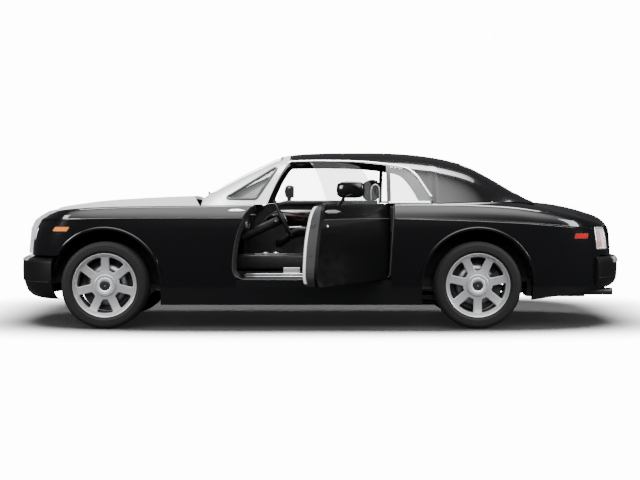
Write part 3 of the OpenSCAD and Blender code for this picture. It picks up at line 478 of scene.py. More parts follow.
def lathe(profile, n=96, closed=False):
    """Points and faces of a profile of radius and height turned about Y, outward to the left."""
    prof = np.asarray(profile, float)
    pts = np.concatenate([np.column_stack([prof[:, 0] * math.cos(t), -prof[:, 1], prof[:, 0] * math.sin(t)])
                          for t in circle(n)])
    m = len(prof)
    last = m if closed else m - 1
    faces = [(i * m + j, ((i + 1) % n) * m + j, ((i + 1) % n) * m + (j + 1) % m, i * m + (j + 1) % m)
             for i in range(n) for j in range(last)]
    return pts, faces


# Materials
TEXTURES = {"cells": ("TexVoronoi", {"Scale": 1.0}, "Distance"),
            "rings": ("TexWave", {"Scale": 1.0, "Distortion": 6.0, "Detail": 3.0}, "Fac"),
            "noise": ("TexNoise", {"Scale": 1.0, "Detail": 4.0}, "Fac")}
COAT_ROUGH = 0.03


def set_inputs(node, values):
    for key, value in values.items():
        node.inputs[key].default_value = value


def add_node(tree, kind, values=None, **settings):
    """A new shader node with its settings and input values."""
    node = tree.nodes.new("ShaderNode" + kind)
    for key, value in settings.items():
        setattr(node, key, value)
    set_inputs(node, values or {})
    return node


def add_tones(tree, *stops):
    """A colour ramp between two stops of position and colour."""
    node = add_node(tree, "ValToRGB")
    for element, (position, colour) in zip(node.color_ramp.elements, stops):
        element.position, element.color = position, (*colour, 1)
    return node


def material(name, colour, rough, metal=0.0, coat=0.0, scale=8, vary=0.15, bump=0.0, reach=0.001,
             spread=0.05, kind="noise", alpha=1.0, glow=None, spec=None, other=None):
    """Procedural finish: a texture in object space drives colour, roughness and bump."""
    m = bpy.data.materials.new(name)
    m.use_nodes = True
    tree = m.node_tree
    link = tree.links.new
    shader = tree.nodes["Principled BSDF"]
    place = add_node(tree, "TexCoord")
    size = add_node(tree, "Mapping", {"Scale": scale if isinstance(scale, tuple) else (scale,) * 3})
    link(place.outputs["Object"], size.inputs["Vector"])
    texture, values, output = TEXTURES[kind]
    tex = add_node(tree, texture, values)
    value = tex.outputs[output]
    link(size.outputs["Vector"], tex.inputs["Vector"])
    light = other or [min(1.0, c * (1 + vary)) for c in colour]
    tone = add_tones(tree, (0.3, [c * (1 - vary) for c in colour]), (0.7, light))
    link(value, tone.inputs["Fac"])
    link(tone.outputs["Color"], shader.inputs["Base Color"])
    gloss = add_node(tree, "MapRange", {"To Min": max(0.0, rough - spread),
                                        "To Max": min(1.0, rough + spread)})
    link(value, gloss.inputs["Value"])
    link(gloss.outputs["Result"], shader.inputs["Roughness"])
    set_inputs(shader, {"Metallic": metal, "Coat Weight": coat, "Coat Roughness": COAT_ROUGH,
                        "Alpha": alpha})
    if spec is not None:
        set_inputs(shader, {"Specular IOR Level": spec})
    if glow:
        set_inputs(shader, {"Emission Color": (*glow[0], 1), "Emission Strength": glow[1]})
    if bump:
        relief = add_node(tree, "Bump", {"Strength": bump, "Distance": reach})
        link(value, relief.inputs["Height"])
        link(relief.outputs["Normal"], shader.inputs["Normal"])
    return m


PAINT = material("paint", (0.0035, 0.0036, 0.004), 0.22, coat=1.0, scale=900, vary=0.5, spread=0.03,
                 spec=0.1)
DOOR_PAINT = material("door_paint", (0.0035, 0.0036, 0.004), 0.4, coat=0.1, scale=900, vary=0.5,
                      spread=0.03, spec=0.1)
ROCKER = material("sill_paint", (0.006, 0.006, 0.0065), 0.42, scale=300, vary=0.4, spread=0.06,
                  spec=0.15)
STEEL = material("satin_steel", (0.60, 0.61, 0.62), 0.36, 0.3, scale=(3, 220, 220), vary=0.06, bump=0.04,
                 spread=0.07)
CHROME = material("chrome", (0.86, 0.87, 0.88), 0.12, 0.7, scale=30, vary=0.03, spread=0.03)
ALLOY = material("alloy", (0.47, 0.475, 0.48), 0.3, 0.55, scale=60, vary=0.05, spread=0.06)
DISC = material("brake_disc", (0.42, 0.42, 0.43), 0.34, 1.0, scale=(4, 400, 4), vary=0.12, bump=0.05)
CAST = material("cast_metal", (0.035, 0.035, 0.037), 0.6, 0.3, scale=90, vary=0.3, bump=0.3)
RUBBER = material("tyre_rubber", (0.009, 0.009, 0.0095), 0.6, scale=160, vary=0.35, bump=0.25,
                  spread=0.1, spec=0.2)
SEAL = material("seal_rubber", (0.012, 0.012, 0.013), 0.5, scale=120, vary=0.3, bump=0.15)
LINER = material("liner_plastic", (0.010, 0.010, 0.011), 0.75, scale=70, vary=0.4, bump=0.4)
UNDER = material("underseal", (0.028, 0.028, 0.03), 0.8, scale=45, vary=0.4, bump=0.5, reach=0.002)
PIPE = material("exhaust_steel", (0.06, 0.058, 0.056), 0.45, 0.8, scale=(6, 80, 80), vary=0.2, bump=0.1)
def glass(name, colour, alpha):
    return material(name, colour, 0.03, scale=5, vary=0.1, spread=0.01, alpha=alpha, spec=0.9)


GLASS = glass("tinted_glass", (0.30, 0.31, 0.31), 0.28)
DARK_GLASS = glass("dark_glass", (0.02, 0.022, 0.023), 0.5)
SMOKED = glass("smoked_glass", (0.07, 0.072, 0.074), 0.62)
CLEAR = material("lamp_clear", (0.85, 0.86, 0.88), 0.05, scale=40, vary=0.08, spread=0.02, alpha=0.16,
                 spec=0.9)
AMBER = material("lamp_amber", (0.80, 0.22, 0.008), 0.10, scale=(160, 8, 160), vary=0.2, bump=0.2,
                 spread=0.04, glow=((0.8, 0.2, 0.0), 0.12))
RED = material("lamp_red", (0.50, 0.012, 0.010), 0.08, scale=(120, 120, 30), vary=0.25, bump=0.2,
               spread=0.03)
HIDE = material("black_hide", (0.010, 0.0098, 0.0098), 0.45, scale=420, vary=0.25, bump=0.35,
                kind="cells", reach=0.0006, spread=0.08)
TRIM = material("cabin_trim", (0.022, 0.022, 0.023), 0.6, scale=260, vary=0.25, bump=0.25)
CARPET = material("carpet", (0.02, 0.02, 0.021), 0.95, scale=600, vary=0.6, bump=0.9, reach=0.003)
LINING = material("head_lining", (0.03, 0.03, 0.03), 0.9, scale=500, vary=0.12, bump=0.3)
WOOD = material("veneer", (0.010, 0.005, 0.0035), 0.2, coat=0.5, scale=(3, 26, 26), vary=0.3, kind="rings",
                other=(0.028, 0.013, 0.008))
MIRROR = material("mirror_glass", (0.85, 0.86, 0.88), 0.02, 1.0, scale=10, vary=0.02, spread=0.01)
GRILLE = material("grille_metal", (0.78, 0.79, 0.80), 0.24, 0.35, scale=(20, 200, 20), vary=0.05,
                  spread=0.05)
CORE = material("radiator_core", (0.02, 0.02, 0.022), 0.6, 0.5, scale=(260, 260, 40), vary=0.6, bump=0.8)
BLOCK = material("engine_casing", (0.20, 0.20, 0.21), 0.5, 0.7, scale=40, vary=0.25, bump=0.3)


# Camera, lights and floor, in metres and degrees
EYE, LENS, LOOK_DOWN = (0, -13.0, 1.15), 76.4, 1.7
SKY_LOBE, SKY_POWER, BACKDROP_POWER = (0, -0.66, 0.75), 5.5, 14.0
SIDE_BOX = ((3.0, 2.0), 160, 120)
SOFTBOXES = [("softbox_top", (0, 0.4, 5.6), (0, 0, 0), (8.0, 1.6), 300, 70),
             ("softbox_front", (-7.0, -4.5, 3.2), (0, -68, 30), *SIDE_BOX),
             ("softbox_rear", (7.0, -4.5, 3.2), (0, 68, -30), *SIDE_BOX)]
# The floor's dark grey is a painted shadow round the part; where the floor fades out, the white world shows
# through.
FLOOR_R, FLOOR_SHADOW_GREY, FLOOR_GLOW = 60, 0.05, 0.015


def stand(name, data, at=(0, 0, 0), turn=(0, 0, 0)):
    """An object in the scene, turned by degrees."""
    obj = bpy.data.objects.new(name, data)
    obj.location = at
    obj.rotation_euler = [math.radians(a) for a in turn]
    bpy.context.scene.collection.objects.link(obj)
    return obj


def studio_world():
    """A bright lobe overhead for the reflections, and plain white behind the part."""
    world = bpy.data.worlds.new("studio")
    bpy.context.scene.world = world
    world.use_nodes = True
    tree = world.node_tree
    link = tree.links.new
    back = tree.nodes["Background"]
    way = add_node(tree, "TexCoord")
    lobe = add_node(tree, "VectorMath", {1: SKY_LOBE}, operation="DOT_PRODUCT")
    tone = add_tones(tree, (0.70, (0.012, 0.012, 0.013)), (0.98, (1, 1, 1.01)))
    tone.color_ramp.interpolation = "EASE"
    link(way.outputs["Generated"], lobe.inputs[0])
    link(lobe.outputs["Value"], tone.inputs["Fac"])
    link(tone.outputs["Color"], back.inputs["Color"])
    set_inputs(back, {"Strength": SKY_POWER})
    white = add_node(tree, "Background", {"Color": (1, 1, 1, 1), "Strength": BACKDROP_POWER})
    ray = add_node(tree, "LightPath")
    pick = add_node(tree, "MixShader")
    link(ray.outputs["Is Camera Ray"], pick.inputs["Fac"])
    link(back.outputs["Background"], pick.inputs[1])
    link(white.outputs["Background"], pick.inputs[2])
    link(pick.outputs["Shader"], tree.nodes["World Output"].inputs["Surface"])


def floor_finish():
    """Floor that fades out at a distance from the part; near the part it is dark grey, a painted shadow
    under and round it.
    """
    stone = bpy.data.materials.new("floor_with_painted_shadow")
    stone.use_nodes = True
    tree = stone.node_tree
    link = tree.links.new
    shader = tree.nodes["Principled BSDF"]
    set_inputs(shader, {"Base Color": (FLOOR_SHADOW_GREY, FLOOR_SHADOW_GREY, FLOOR_SHADOW_GREY, 1), "Roughness": 0.6,
                        "Specular IOR Level": 0.1, "Emission Color": (1, 1, 1, 1),
                        "Emission Strength": FLOOR_GLOW})
    clear = add_node(tree, "BsdfTransparent")
    place = add_node(tree, "TexCoord")
    # Size and place of the oval of painted shadow on the floor.
    flat = add_node(tree, "Mapping", {"Location": (0, -0.4, 0), "Scale": (0.345, 0.5, 0.0)})
    square = add_node(tree, "VectorMath", operation="MULTIPLY")
    far = add_node(tree, "VectorMath", operation="LENGTH")
    fade = add_node(tree, "MapRange", {"From Min": 0.85, "From Max": 2.2}, interpolation_type="SMOOTHSTEP")
    blend = add_node(tree, "MixShader")
    link(place.outputs["Object"], flat.inputs["Vector"])
    link(flat.outputs["Vector"], square.inputs[0])
    link(flat.outputs["Vector"], square.inputs[1])
    link(square.outputs["Vector"], far.inputs[0])
    link(far.outputs["Value"], fade.inputs["Value"])
    link(fade.outputs["Result"], blend.inputs["Fac"])
    link(shader.outputs["BSDF"], blend.inputs[1])
    link(clear.outputs["BSDF"], blend.inputs[2])
    link(blend.outputs["Shader"], tree.nodes["Material Output"].inputs["Surface"])
    return stone


def studio():
    eye = stand("camera", bpy.data.cameras.new("camera"), EYE, (90 - LOOK_DOWN, 0, 0))
    eye.data.sensor_width, eye.data.lens, eye.data.clip_end = 36.0, LENS, 200
    bpy.context.scene.camera = eye
    studio_world()
    for name, at, turn, size, power, spread in SOFTBOXES:
        lamp = bpy.data.lights.new(name, "AREA")
        lamp.shape = "RECTANGLE"
        lamp.size, lamp.size_y = size
        lamp.energy = power
        lamp.spread = math.radians(spread)
        stand(name, lamp, at, turn)
    ground = bpy.data.meshes.new("floor")
    r = FLOOR_R
    ground.from_pydata([(-r, -r, 0), (r, -r, 0), (r, r, 0), (-r, r, 0)], [], [(0, 1, 2, 3)])
    ground.materials.append(floor_finish())
    floor = stand("floor_stage", ground)


studio()


# Outlines on the body sides
def shifted(line, d):
    """Polyline moved to its left by d."""
    line = np.asarray(line, float)
    way = np.gradient(line, axis=0)
    way /= np.hypot(*way.T)[:, None]
    return line + d * np.column_stack([-way[:, 1], way[:, 0]])


def door_edge(rail, n, d, low, high):
    z = np.linspace(low, high, n)
    return shifted(np.column_stack([curve(rail, z), z]), d)


def door_front(d, low=DOOR_Z, high=1140):
    """Front edge of the door from low to high, moved forward by d."""
    return door_edge(SHUT_FRONT, 40, d, low, high)


def door_rear(d, low=DOOR_Z, high=1140):
    """Rear edge of the door from low to high, moved back by d."""
    return door_edge(SHUT_REAR, 24, -d, low, high)


def side_loop(points):
    """Loop on the body side from points in X and Z."""
    p = np.asarray(points, float)
    return np.column_stack([s_of_x(p[:, 0]), level(p[:, 0], p[:, 1])])


def rail_line(s0, s1, n):
    """Along the upper rail, in plan length and level."""
    s = np.linspace(s0, s1, n)
    return np.column_stack([s, rail_level(x_of_s(s))])


def below_rail(line):
    """The part of a side loop that lies under the upper rail."""
    return line[line[:, 1] < rail_level(x_of_s(line[:, 0])) - 2]


def arc(cx, cz, r, a0, a1, n=48):
    a = np.radians(np.linspace(a0, a1, n))
    return np.column_stack([cx + r * np.cos(a), cz + r * np.sin(a)])


def side_inner(wall_from, wall_to):
    """Inner face of a body side panel: flat at the cabin wall, a thin panel elsewhere."""
    def inner(uv):
        out, thin = side_point(uv), side_point(uv, PANEL_T)
        thin[:, 2] -= np.where(uv[:, 1] > curve(RAIL4, out[:, 0]), 24, 0)
        wall = (out[:, 0] > wall_from) & (out[:, 0] < wall_to)
        flat = out.copy()
        flat[:, 1] = -WALL_Y
        return np.where(wall[:, None], flat, thin)
    return inner


def arch_angle(z):
    """Angle at which the wheel arch stands at a height."""
    return math.degrees(math.asin((z - WHEEL_Z) / ARCH_R))


def tail_opening(x0, y1, low, high, n):
    """Loop of the tail lamp from a station on the side round to a distance from the middle."""
    rows = np.linspace(s_of_x(x0), s_of_tail(y1), n)
    upper = np.column_stack([rows, level(x_of_s(rows), high)])
    return np.vstack([np.column_stack([rows, np.full(n, low)]), upper[::-1]])


BUMPER_TOP = BUMPER_Z + SEAT_GAP
SILL_TOP, STEP_TOP = CREASE_Z + SEAT_GAP, STEP_Z + SEAT_GAP


def fender_loops():
    wheel_arch = arc(AXLE_F, WHEEL_Z, ARCH_R, 180 - arch_angle(BUMPER_TOP), arch_angle(SILL_TOP))
    step_x = curve(SHUT_FRONT, DOOR_Z) - STEP_IN - SEAT_GAP
    edge = door_front(SHUT_GAP, STEP_TOP)
    body = side_loop(np.vstack([wheel_arch, [[step_x, SILL_TOP], [step_x, STEP_TOP]], edge[1:]]))
    body = below_rail(body)
    end_x = x_of_s(body[-1, 0]) + 14
    nose = s_of_nose(340)
    outline = np.vstack([[[nose, BUMPER_TOP]], body, rail_line(s_of_x(end_x), nose, 160)])
    a, b = s_of_nose(400), s_of_nose(705)
    return [outline, np.array([[a, 785], [b, 785], [b, 895], [a, 895]])]


def quarter_loops():
    wheel_arch = arc(AXLE_R, WHEEL_Z, ARCH_R, 180 - arch_angle(SILL_TOP), 0)
    step_x = curve(SHUT_REAR, DOOR_Z) + STEP_IN + SEAT_GAP
    front = below_rail(side_loop(door_rear(SHUT_GAP, STEP_TOP)[::-1]))
    tuck = [[AXLE_R + ARCH_R, 257], [2210, 298], [2530, 341], [2530, BUMPER_TOP]]
    body = side_loop(np.vstack([[[step_x, STEP_TOP], [step_x, SILL_TOP]], wheel_arch, tuck]))
    end = s_of_tail(615)
    outline = np.vstack([front, body, [[end, BUMPER_TOP]], rail_line(end, front[0, 0], 160)])
    return [outline, tail_opening(2490, 650, 700.0, 905.0, 8)]


def joined(*builds):
    out = Build()
    for b in builds:
        out.join(b)
    return out


def both_sides(build):
    return joined(build, build.turned(mirrored))


def body_sides():
    fender = Build()
    panel(fender, fender_loops(), (36, 22), side_point, side_inner(AXLE_F + ARCH_R + 10, 0),
          rows=waist_level)
    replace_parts(both_sides(fender).piece("fender_panels", PAINT, "body", slot="paint"), "front_fenders")
    quarter = Build()
    panel(quarter, quarter_loops(), (36, 22), side_point, side_inner(0, AXLE_R - ARCH_R - 10),
          rows=waist_level)
    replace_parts(both_sides(quarter).piece("quarter_panels", PAINT, "body", slot="paint"), "rear_quarters")
    rocker = Build()
    x0, x1 = AXLE_F + ARCH_R + 1, AXLE_R - ARCH_R - 1
    f, r = curve(SHUT_FRONT, DOOR_Z) - STEP_IN, curve(SHUT_REAR, DOOR_Z) + STEP_IN
    c = CREASE_Z - SEAT_GAP
    loop = side_loop([[x0, SILL_Z], [x1, SILL_Z], [x1, c], [r, c], [r, STEP_Z], [f, STEP_Z], [f, c],
                      [x0, c]])
    panel(rocker, [loop], (60, 26), side_point, side_inner(-3000, 3000))
    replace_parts(both_sides(rocker).piece("rocker_panels", ROCKER, "body", slot="paint"), "rockers")


body_sides()


# Greenhouse
def dome_loop(points):
    """Loop on the left-hand greenhouse side from points in X and Z."""
    return np.array([[x, t_of_z(x, z)] for x, z in points])


def plan_loop(points):
    return np.array([[x, t_of_y(x, y)] for x, y in points])


def rounded(points, r, n=6):
    """Polygon grown by r with round corners."""
    p = np.asarray(points, float)
    area = np.cross(p, np.roll(p, -1, axis=0)).sum()
    p = p if area > 0 else p[::-1]
    out = []
    for a, b, c in zip(np.roll(p, 1, axis=0), p, np.roll(p, -1, axis=0)):
        u, v = (b - a) / np.hypot(*(b - a)), (c - b) / np.hypot(*(c - b))
        s, e = math.atan2(-u[0], u[1]), math.atan2(-v[0], v[1])
        e = s + (e - s + math.pi) % (2 * math.pi) - math.pi
        for k in range(n + 1):
            t = s + (e - s) * k / n
            out.append(b + r * np.array([math.cos(t), math.sin(t)]))
    return np.array(out)


def day_line():
    """Side window opening from the windscreen pillar over the top to the rear pillar, in X and Z."""
    x = np.linspace(-270, 720, 40)
    return np.vstack([[[-468, 1112], [-292, 1470]], np.column_stack([x, curve(SIDE_TOP, x)]),
                      [[780, 1424], [830, 1392], [880, 1338], [1000, 1146]]])


def screen_loop():
    y = np.linspace(-655, 655, 24)
    return rounded(np.vstack([np.column_stack([-1040 + 110 * (y / 655) ** 2, y]),
                              [[-390, 525], [-390, -525]]]), 40)


def back_loop():
    return rounded([[1330, -440], [1330, 440], [1790, 500], [1790, -500]], 40)


def vent_loop():
    return rounded([[-818, 1168], [-575, 1168], [-402, 1428]], 12)


def dome_inner(uv):
    return dome_point(uv, SHELL_T)


def right_of(loop):
    return loop * np.array([1, -1])


DOME_STEP = (30, 0.035)
DOME_SCALE = (1.0, 0.001)


def greenhouse():
    roof = Build()
    side = day_line()[2:]
    left = dome_loop(side)
    base = [[x, -1] for x in np.linspace(1004, 1948, 40)]
    left = np.vstack([left, base])
    front = [[-272, t] for t in np.linspace(-left[0, 1], left[0, 1], 24)]
    rear = [[1948, t] for t in np.linspace(-1, 1, 40)[1:-1]]
    outline = np.vstack([front, left, rear, right_of(left)[::-1]])
    panel(roof, [outline, plan_loop(back_loop())], DOME_STEP, dome_point, dome_inner, (0, 1, 0), DOME_SCALE)
    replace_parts(roof.piece("roof_panel", [PAINT, LINING], "body", slot="paint"), "roof")
    frame_side = np.vstack([dome_loop([[-296, 1470], [-470, 1116]]),
                            [[x, -1] for x in np.linspace(-472, -1056, 24)]])
    y = np.linspace(-765, 765, 40)
    foot = plan_loop(np.column_stack([-1095 + 39.5 * (y / 770) ** 2, y]))
    head = [[-272.2, t] for t in np.linspace(-t_of_z(-272, 1490), t_of_z(-272, 1490), 24)]
    outline = np.vstack([head, frame_side, foot, right_of(frame_side)[::-1]])
    vent = dome_loop(vent_loop())
    holes = [plan_loop(screen_loop()), vent, right_of(vent)]
    frame_build = Build()
    panel(frame_build, [outline] + holes, (24, 0.03), dome_point, dome_inner, (0, 1, 0), DOME_SCALE)
    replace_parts(frame_build.piece("windscreen_surround", [STEEL, TRIM], "body", slot="steel_panel"),
                "windscreen_frame")


def pane(name, loops, body, node, glass, move=None, tones=(0, 0, 0, 0)):
    """Glass on the greenhouse surface."""
    build = Build()
    for loop, tone in zip(loops, tones):
        sheet(build, loop, DOME_STEP, dome_point, GLASS_IN, GLASS_IN + GLASS_T, tone, DOME_SCALE)
    build = build.turned(move) if move else build
    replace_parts(build.piece(name, glass, body, slot="glass"), node)


def quarter_light():
    top = day_line()
    top = top[top[:, 0] > 602]
    x0 = 604
    rows = np.vstack([[[x0, 1122], [x0, float(curve(SIDE_TOP, x0))]], top, [[985, 1128], [690, 1122]]])
    return dome_loop(rows)


def door_light():
    x = np.linspace(-268, 586, 30)
    top = np.column_stack([x, curve(SIDE_TOP, x) - SHUT_GAP])
    return dome_loop(np.vstack([[[-458, 1112], [-284, 1466]], top, [[586, 1113]]]))


def glazing():
    pane("windscreen_pane", [plan_loop(screen_loop())], "body", "windscreen", GLASS)
    pane("rear_window_pane", [plan_loop(back_loop())], "body", "rear_window", DARK_GLASS)
    vent, light = dome_loop(vent_loop()), quarter_light()
    pane("vent_panes", [vent, right_of(vent), light, right_of(light)], "body", "side_glass",
         [GLASS, SMOKED], tones=(1, 1, 0, 0))
    pane("door_pane_left", [door_light()], "door_left", "door_glass_left", GLASS, swung)
    pane("door_pane_right", [right_of(door_light())], "door_right", "door_glass_right", GLASS)


greenhouse()
glazing()


# Bonnet, boot lid and bumpers
def grid_faces(n, m):
    return [(i * m + j, (i + 1) * m + j, (i + 1) * m + j + 1, i * m + j + 1) for i in range(n - 1)
            for j in range(m - 1)]


def slab(build, top, under, n, m, mats=(0, 0, 0)):
    """Closed slab between two grids of points, the first one outside."""
    faces = grid_faces(n, m)
    a = top.reshape(n, m, 3)
    du, dv = np.gradient(a, axis=0), np.gradient(a, axis=1)
    nor = unit_rows(np.cross(du.reshape(-1, 3), dv.reshape(-1, 3)))
    if np.mean((nor * (top - under)).sum(1)) < 0:
        nor = -nor
        faces = flipped(faces)
    build.add(top, faces, mats[0], nor)
    build.add(under, flipped(faces), mats[1])
    edge_strip(build, top, under, faces, mats[2])


def rail6_edge(x, y, gap):
    d = rail6_in(x) + gap
    dx, dy = plan_dir(x, y)
    return x - d * dx, y - d * dy


def bonnet_panel():
    y = np.linspace(560, 800, 14)
    back = np.linspace(nose_x(800), BONNET_BACK, 60)[1:]
    ex, ey = rail6_edge(np.concatenate([nose_x(y), back]), np.concatenate([y, plan_y(back)]), LID_GAP)
    order = np.argsort(ex)
    ex, ey = ex[order], ey[order]
    n, m = 70, 49
    v = np.linspace(-1, 1, m)
    top = []
    for x0 in np.linspace(ex[0], ex[-1], n):
        bow = -110 * ramp(-1900, BONNET_BACK, x0)
        x = x0 + bow * (1 - v ** 2)
        half = np.interp(x, ex, ey)
        edge = curve(RAIL6, x) - 2
        crown = np.maximum(curve(HOOD, x), edge + 3)
        top.append(np.column_stack([x, v * half, mix(crown, edge, np.abs(v) ** 2.6)]))
    top = np.vstack(top)
    build = Build()
    slab(build, top, top - np.array([0, 0, LID_T]), n, m, (0, 1, 0))
    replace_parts(build.piece("bonnet_panel", [STEEL, TRIM], "bonnet", slot="steel_panel"), "bonnet")


BOOT_MID = [[BOOT_FRONT + LID_GAP, 1132], [2144, 1116], [2297, 1090], [2406, 1065], [2450, 1052],
            [2580, 1008], [2640, 968], [2668, 915], [2682, 840], [2690, 740], [2694, BUMPER_Z + LID_GAP]]
BOOT_SIDE, TAIL_Y = 579.0, 615.0


def rail6_station(x):
    """Plan station, up to the end of the quarter, whose upper rail lies at x."""
    a, b = 1900.0, float(tail_x(TAIL_Y))
    for _ in range(14):
        m = (a + b) / 2
        a, b = (m, b) if rail6_edge(np.float64(m), plan_y(m), LID_GAP)[0] < x else (a, m)
    return (a + b) / 2


def boot_edge(i):
    cx, cz = BOOT_MID[i]
    if i >= 6:
        return [cx - 42, BOOT_SIDE, 922 if i == 6 else min(cz, 900)]
    x = cx - i * 3
    m = rail6_station(x)
    ex, ey = (float(v) for v in rail6_edge(np.float64(m), plan_y(m), LID_GAP))
    dx, dy = plan_dir(tail_x(TAIL_Y), TAIL_Y)
    over = max(0.0, x - ex - 1)
    return [x, ey + over * dy / dx - (0 if i < 3 else 2 * LID_GAP), float(curve(RAIL6, m)) - 2 - over / 6]


def boot_panel():
    n, m = 70, 41
    edges = np.array([boot_edge(i) for i in range(len(BOOT_MID))])
    mid = np.array(BOOT_MID)
    k = np.arange(len(mid))
    ks = np.linspace(0, len(mid) - 1, n)
    rows = [curve(np.column_stack([k, c]), ks) for c in (mid[:, 0], mid[:, 1], *edges.T)]
    v = np.linspace(-1, 1, m)
    top = np.vstack([np.column_stack([mix(cx, ex, np.abs(v) ** 2.2), v * ey, mix(cz, ez, np.abs(v) ** 2.6)])
                     for cx, cz, ex, ey, ez in zip(*rows)])
    way = np.gradient(np.column_stack(rows[:2]), axis=0)
    way /= np.hypot(*way.T)[:, None]
    thick = mix(3.0, LID_T, ramp(2004, 2050, rows[0]))[:, None]
    off = np.repeat(np.column_stack([way[:, 1], 0 * ks, -way[:, 0]]) * thick, m, axis=0)
    build = Build()
    slab(build, top, top + off, n, m, (0, 1, 0))
    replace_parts(build.piece("boot_panel", [PAINT, TRIM], "boot_lid", slot="paint"), "boot_lid")


FRONT_PROF = [[252, 150], [268, 92], [310, 45], [380, 10], [450, 0], [560, 0], [606, 12], [640, 80],
              [650, 150]]
REAR_PROF = [[345, 90], [372, 40], [420, 8], [500, 0], [585, 0], [622, 14], [643, 60], [650, 110]]


def band_plan(y, w):
    q = np.minimum(np.abs(y) / w, 0.999)
    return (TAIL_X - 300 * q * q) * (1 - q ** 8) ** (1 / 8)


def bumper_point(end, w, prof):
    """Bumper surface over distance from the middle and height parameter."""
    rows = np.array(prof, float)
    k = np.arange(len(rows))

    def point(uv, extra=0.0):
        y, t = np.asarray(uv, float).T
        gx = np.full_like(y, end)
        gy = -(band_plan(y + 1, w) - band_plan(y - 1, w)) / 2
        g = np.hypot(gx, gy)
        d = curve(np.column_stack([k, rows[:, 1]]), t) + extra
        z = curve(np.column_stack([k, rows[:, 0]]), t)
        return np.column_stack([end * band_plan(y, w) - d * gx / g, y - d * gy / g, z])
    return point


FRONT_BAND = bumper_point(-1, HALF_W - 4, FRONT_PROF)
REAR_BAND = bumper_point(1, HALF_W - 30, REAR_PROF)
BAND_STEP, BAND_SCALE, BAND_T = (30, 0.25), (1.0, 0.01), 60


def band_outline(edge, n, prof):
    wide = np.linspace(-edge, edge, n)
    return np.vstack([np.column_stack([wide, np.full(n, 0.0)]),
                      np.column_stack([wide[::-1], np.full(n, len(prof) - 1.0)])])


def front_band_back(uv):
    """Back of the front bumper, thinner beside the wheels."""
    return FRONT_BAND(uv, BAND_T - 38 * ramp(520, 690, np.abs(np.asarray(uv)[:, 0])))


def bumpers():
    intake = np.array([[-520, 2.2], [520, 2.2], [520, 3.45], [-520, 3.45]])
    build = Build()
    panel(build, [band_outline(884.0, 70, FRONT_PROF), intake], BAND_STEP, FRONT_BAND, front_band_back,
          scale=BAND_SCALE)
    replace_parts(build.piece("front_bumper_skin", ROCKER, "body", slot="paint"), "front_bumper")
    build = Build()
    sheet(build, band_outline(812.0, 60, REAR_PROF), BAND_STEP, REAR_BAND, 0, BAND_T, scale=BAND_SCALE)
    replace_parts(build.piece("rear_bumper_skin", ROCKER, "body", slot="paint"), "rear_bumper")


bonnet_panel()
boot_panel()
bumpers()


# Doors
def door_loop(d):
    front = below_rail(side_loop(door_front(d)))
    rear = below_rail(side_loop(door_rear(d)))
    low = np.column_stack([np.linspace(front[0, 0], rear[0, 0], 60)[1:-1], np.full(58, DOOR_Z - d)])
    return np.vstack([low, rear, rail_line(rear[-1, 0], front[-1, 0], 60), front[::-1]])


def inward(d):
    """Body side moved straight in by d."""
    return lambda uv: side_point(uv) + np.array([0, d, 0])


def door_wall(uv):
    p = side_point(uv)
    p[:, 1] = DOOR_WALL
    return p


def doors():
    build = Build()
    panel(build, [door_loop(0)], (36, 22), side_point, inward(SKIN_T), rows=waist_level)
    panel(build, [door_loop(-INNER_GAP)], (60, 40), inward(SKIN_T - 2), door_wall, (1, 2, 1))
    left, right = door_pair(build, "door_%s_panel", [DOOR_PAINT, TRIM, HIDE], slot="paint")
    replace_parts(left, "door_left")
    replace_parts(right, "door_right")


doors()


# Helpers for dressing
def cos_sin(deg):
    return math.cos(math.radians(deg)), math.sin(math.radians(deg))


def spin_x(deg):
    c, s = cos_sin(deg)
    return np.array([[1, 0, 0], [0, c, -s], [0, s, c]])


def spin_y(deg):
    c, s = cos_sin(deg)
    return np.array([[c, 0, s], [0, 1, 0], [-s, 0, c]])


def spin_z(deg):
    c, s = cos_sin(deg)
    return np.array([[c, -s, 0], [s, c, 0], [0, 0, 1]])


def moved(at=(0, 0, 0), turn=0.0):
    """A move of points: a turn about Z in degrees, then a shift."""
    return lambda p: p @ spin_z(turn).T + np.array(at, float)


def loft(rings, ends=True, closed=True):
    """Points and faces of rings of the same length joined in order."""
    rings = [np.asarray(r, float) for r in rings]
    n, m = len(rings), len(rings[0])
    last = m if closed else m - 1
    faces = [(i * m + j, i * m + (j + 1) % m, (i + 1) * m + (j + 1) % m, (i + 1) * m + j)
             for i in range(n - 1) for j in range(last)]
    if ends:
        faces += [tuple(range(m))[::-1], tuple((n - 1) * m + j for j in range(m))]
    return np.concatenate(rings), faces


HALF_ROUND = np.array([(-0.5, -0.3), (-0.5, 0.3), (-0.32, 0.8), (0, 1), (0.32, 0.8), (0.5, 0.3),
                       (0.5, -0.3)])


def trim_on(build, point, uv, width, height, scale=(1.0, 1.0), taper=None, lift=0.0, m=0):
    """Half-round trim laid along a path on a surface; taper scales its width along the way."""
    uv = np.asarray(uv, float)
    p = point(uv)
    n = normals(point, uv, scale)
    n = n * (np.sign((n * np.array([0, -1, 0.35])).sum(1).mean()) or 1.0)
    across = unit_rows(np.cross(np.gradient(p, axis=0), n))
    k = np.ones(len(p)) if taper is None else np.asarray(taper, float)
    wide, high = HALF_ROUND.T
    rings = [p[i] + lift * n[i] + np.outer(wide * width * k[i], across[i])
             + np.outer(high * height * (0.4 + 0.6 * k[i]), n[i]) for i in range(len(p))]
    build.add(*loft(rings), m)


def spread_line(points, n):
    """A polyline with n points at even distances."""
    p = np.asarray(points, float)
    s = np.concatenate([[0], np.cumsum(np.linalg.norm(np.diff(p, axis=0), axis=1))])
    t = np.linspace(0, s[-1], n)
    return np.column_stack([np.interp(t, s, p[:, i]) for i in range(p.shape[1])])


ROUND_STEPS = 4
TUBE_REF = np.array([0.13, 0.31, 0.94])


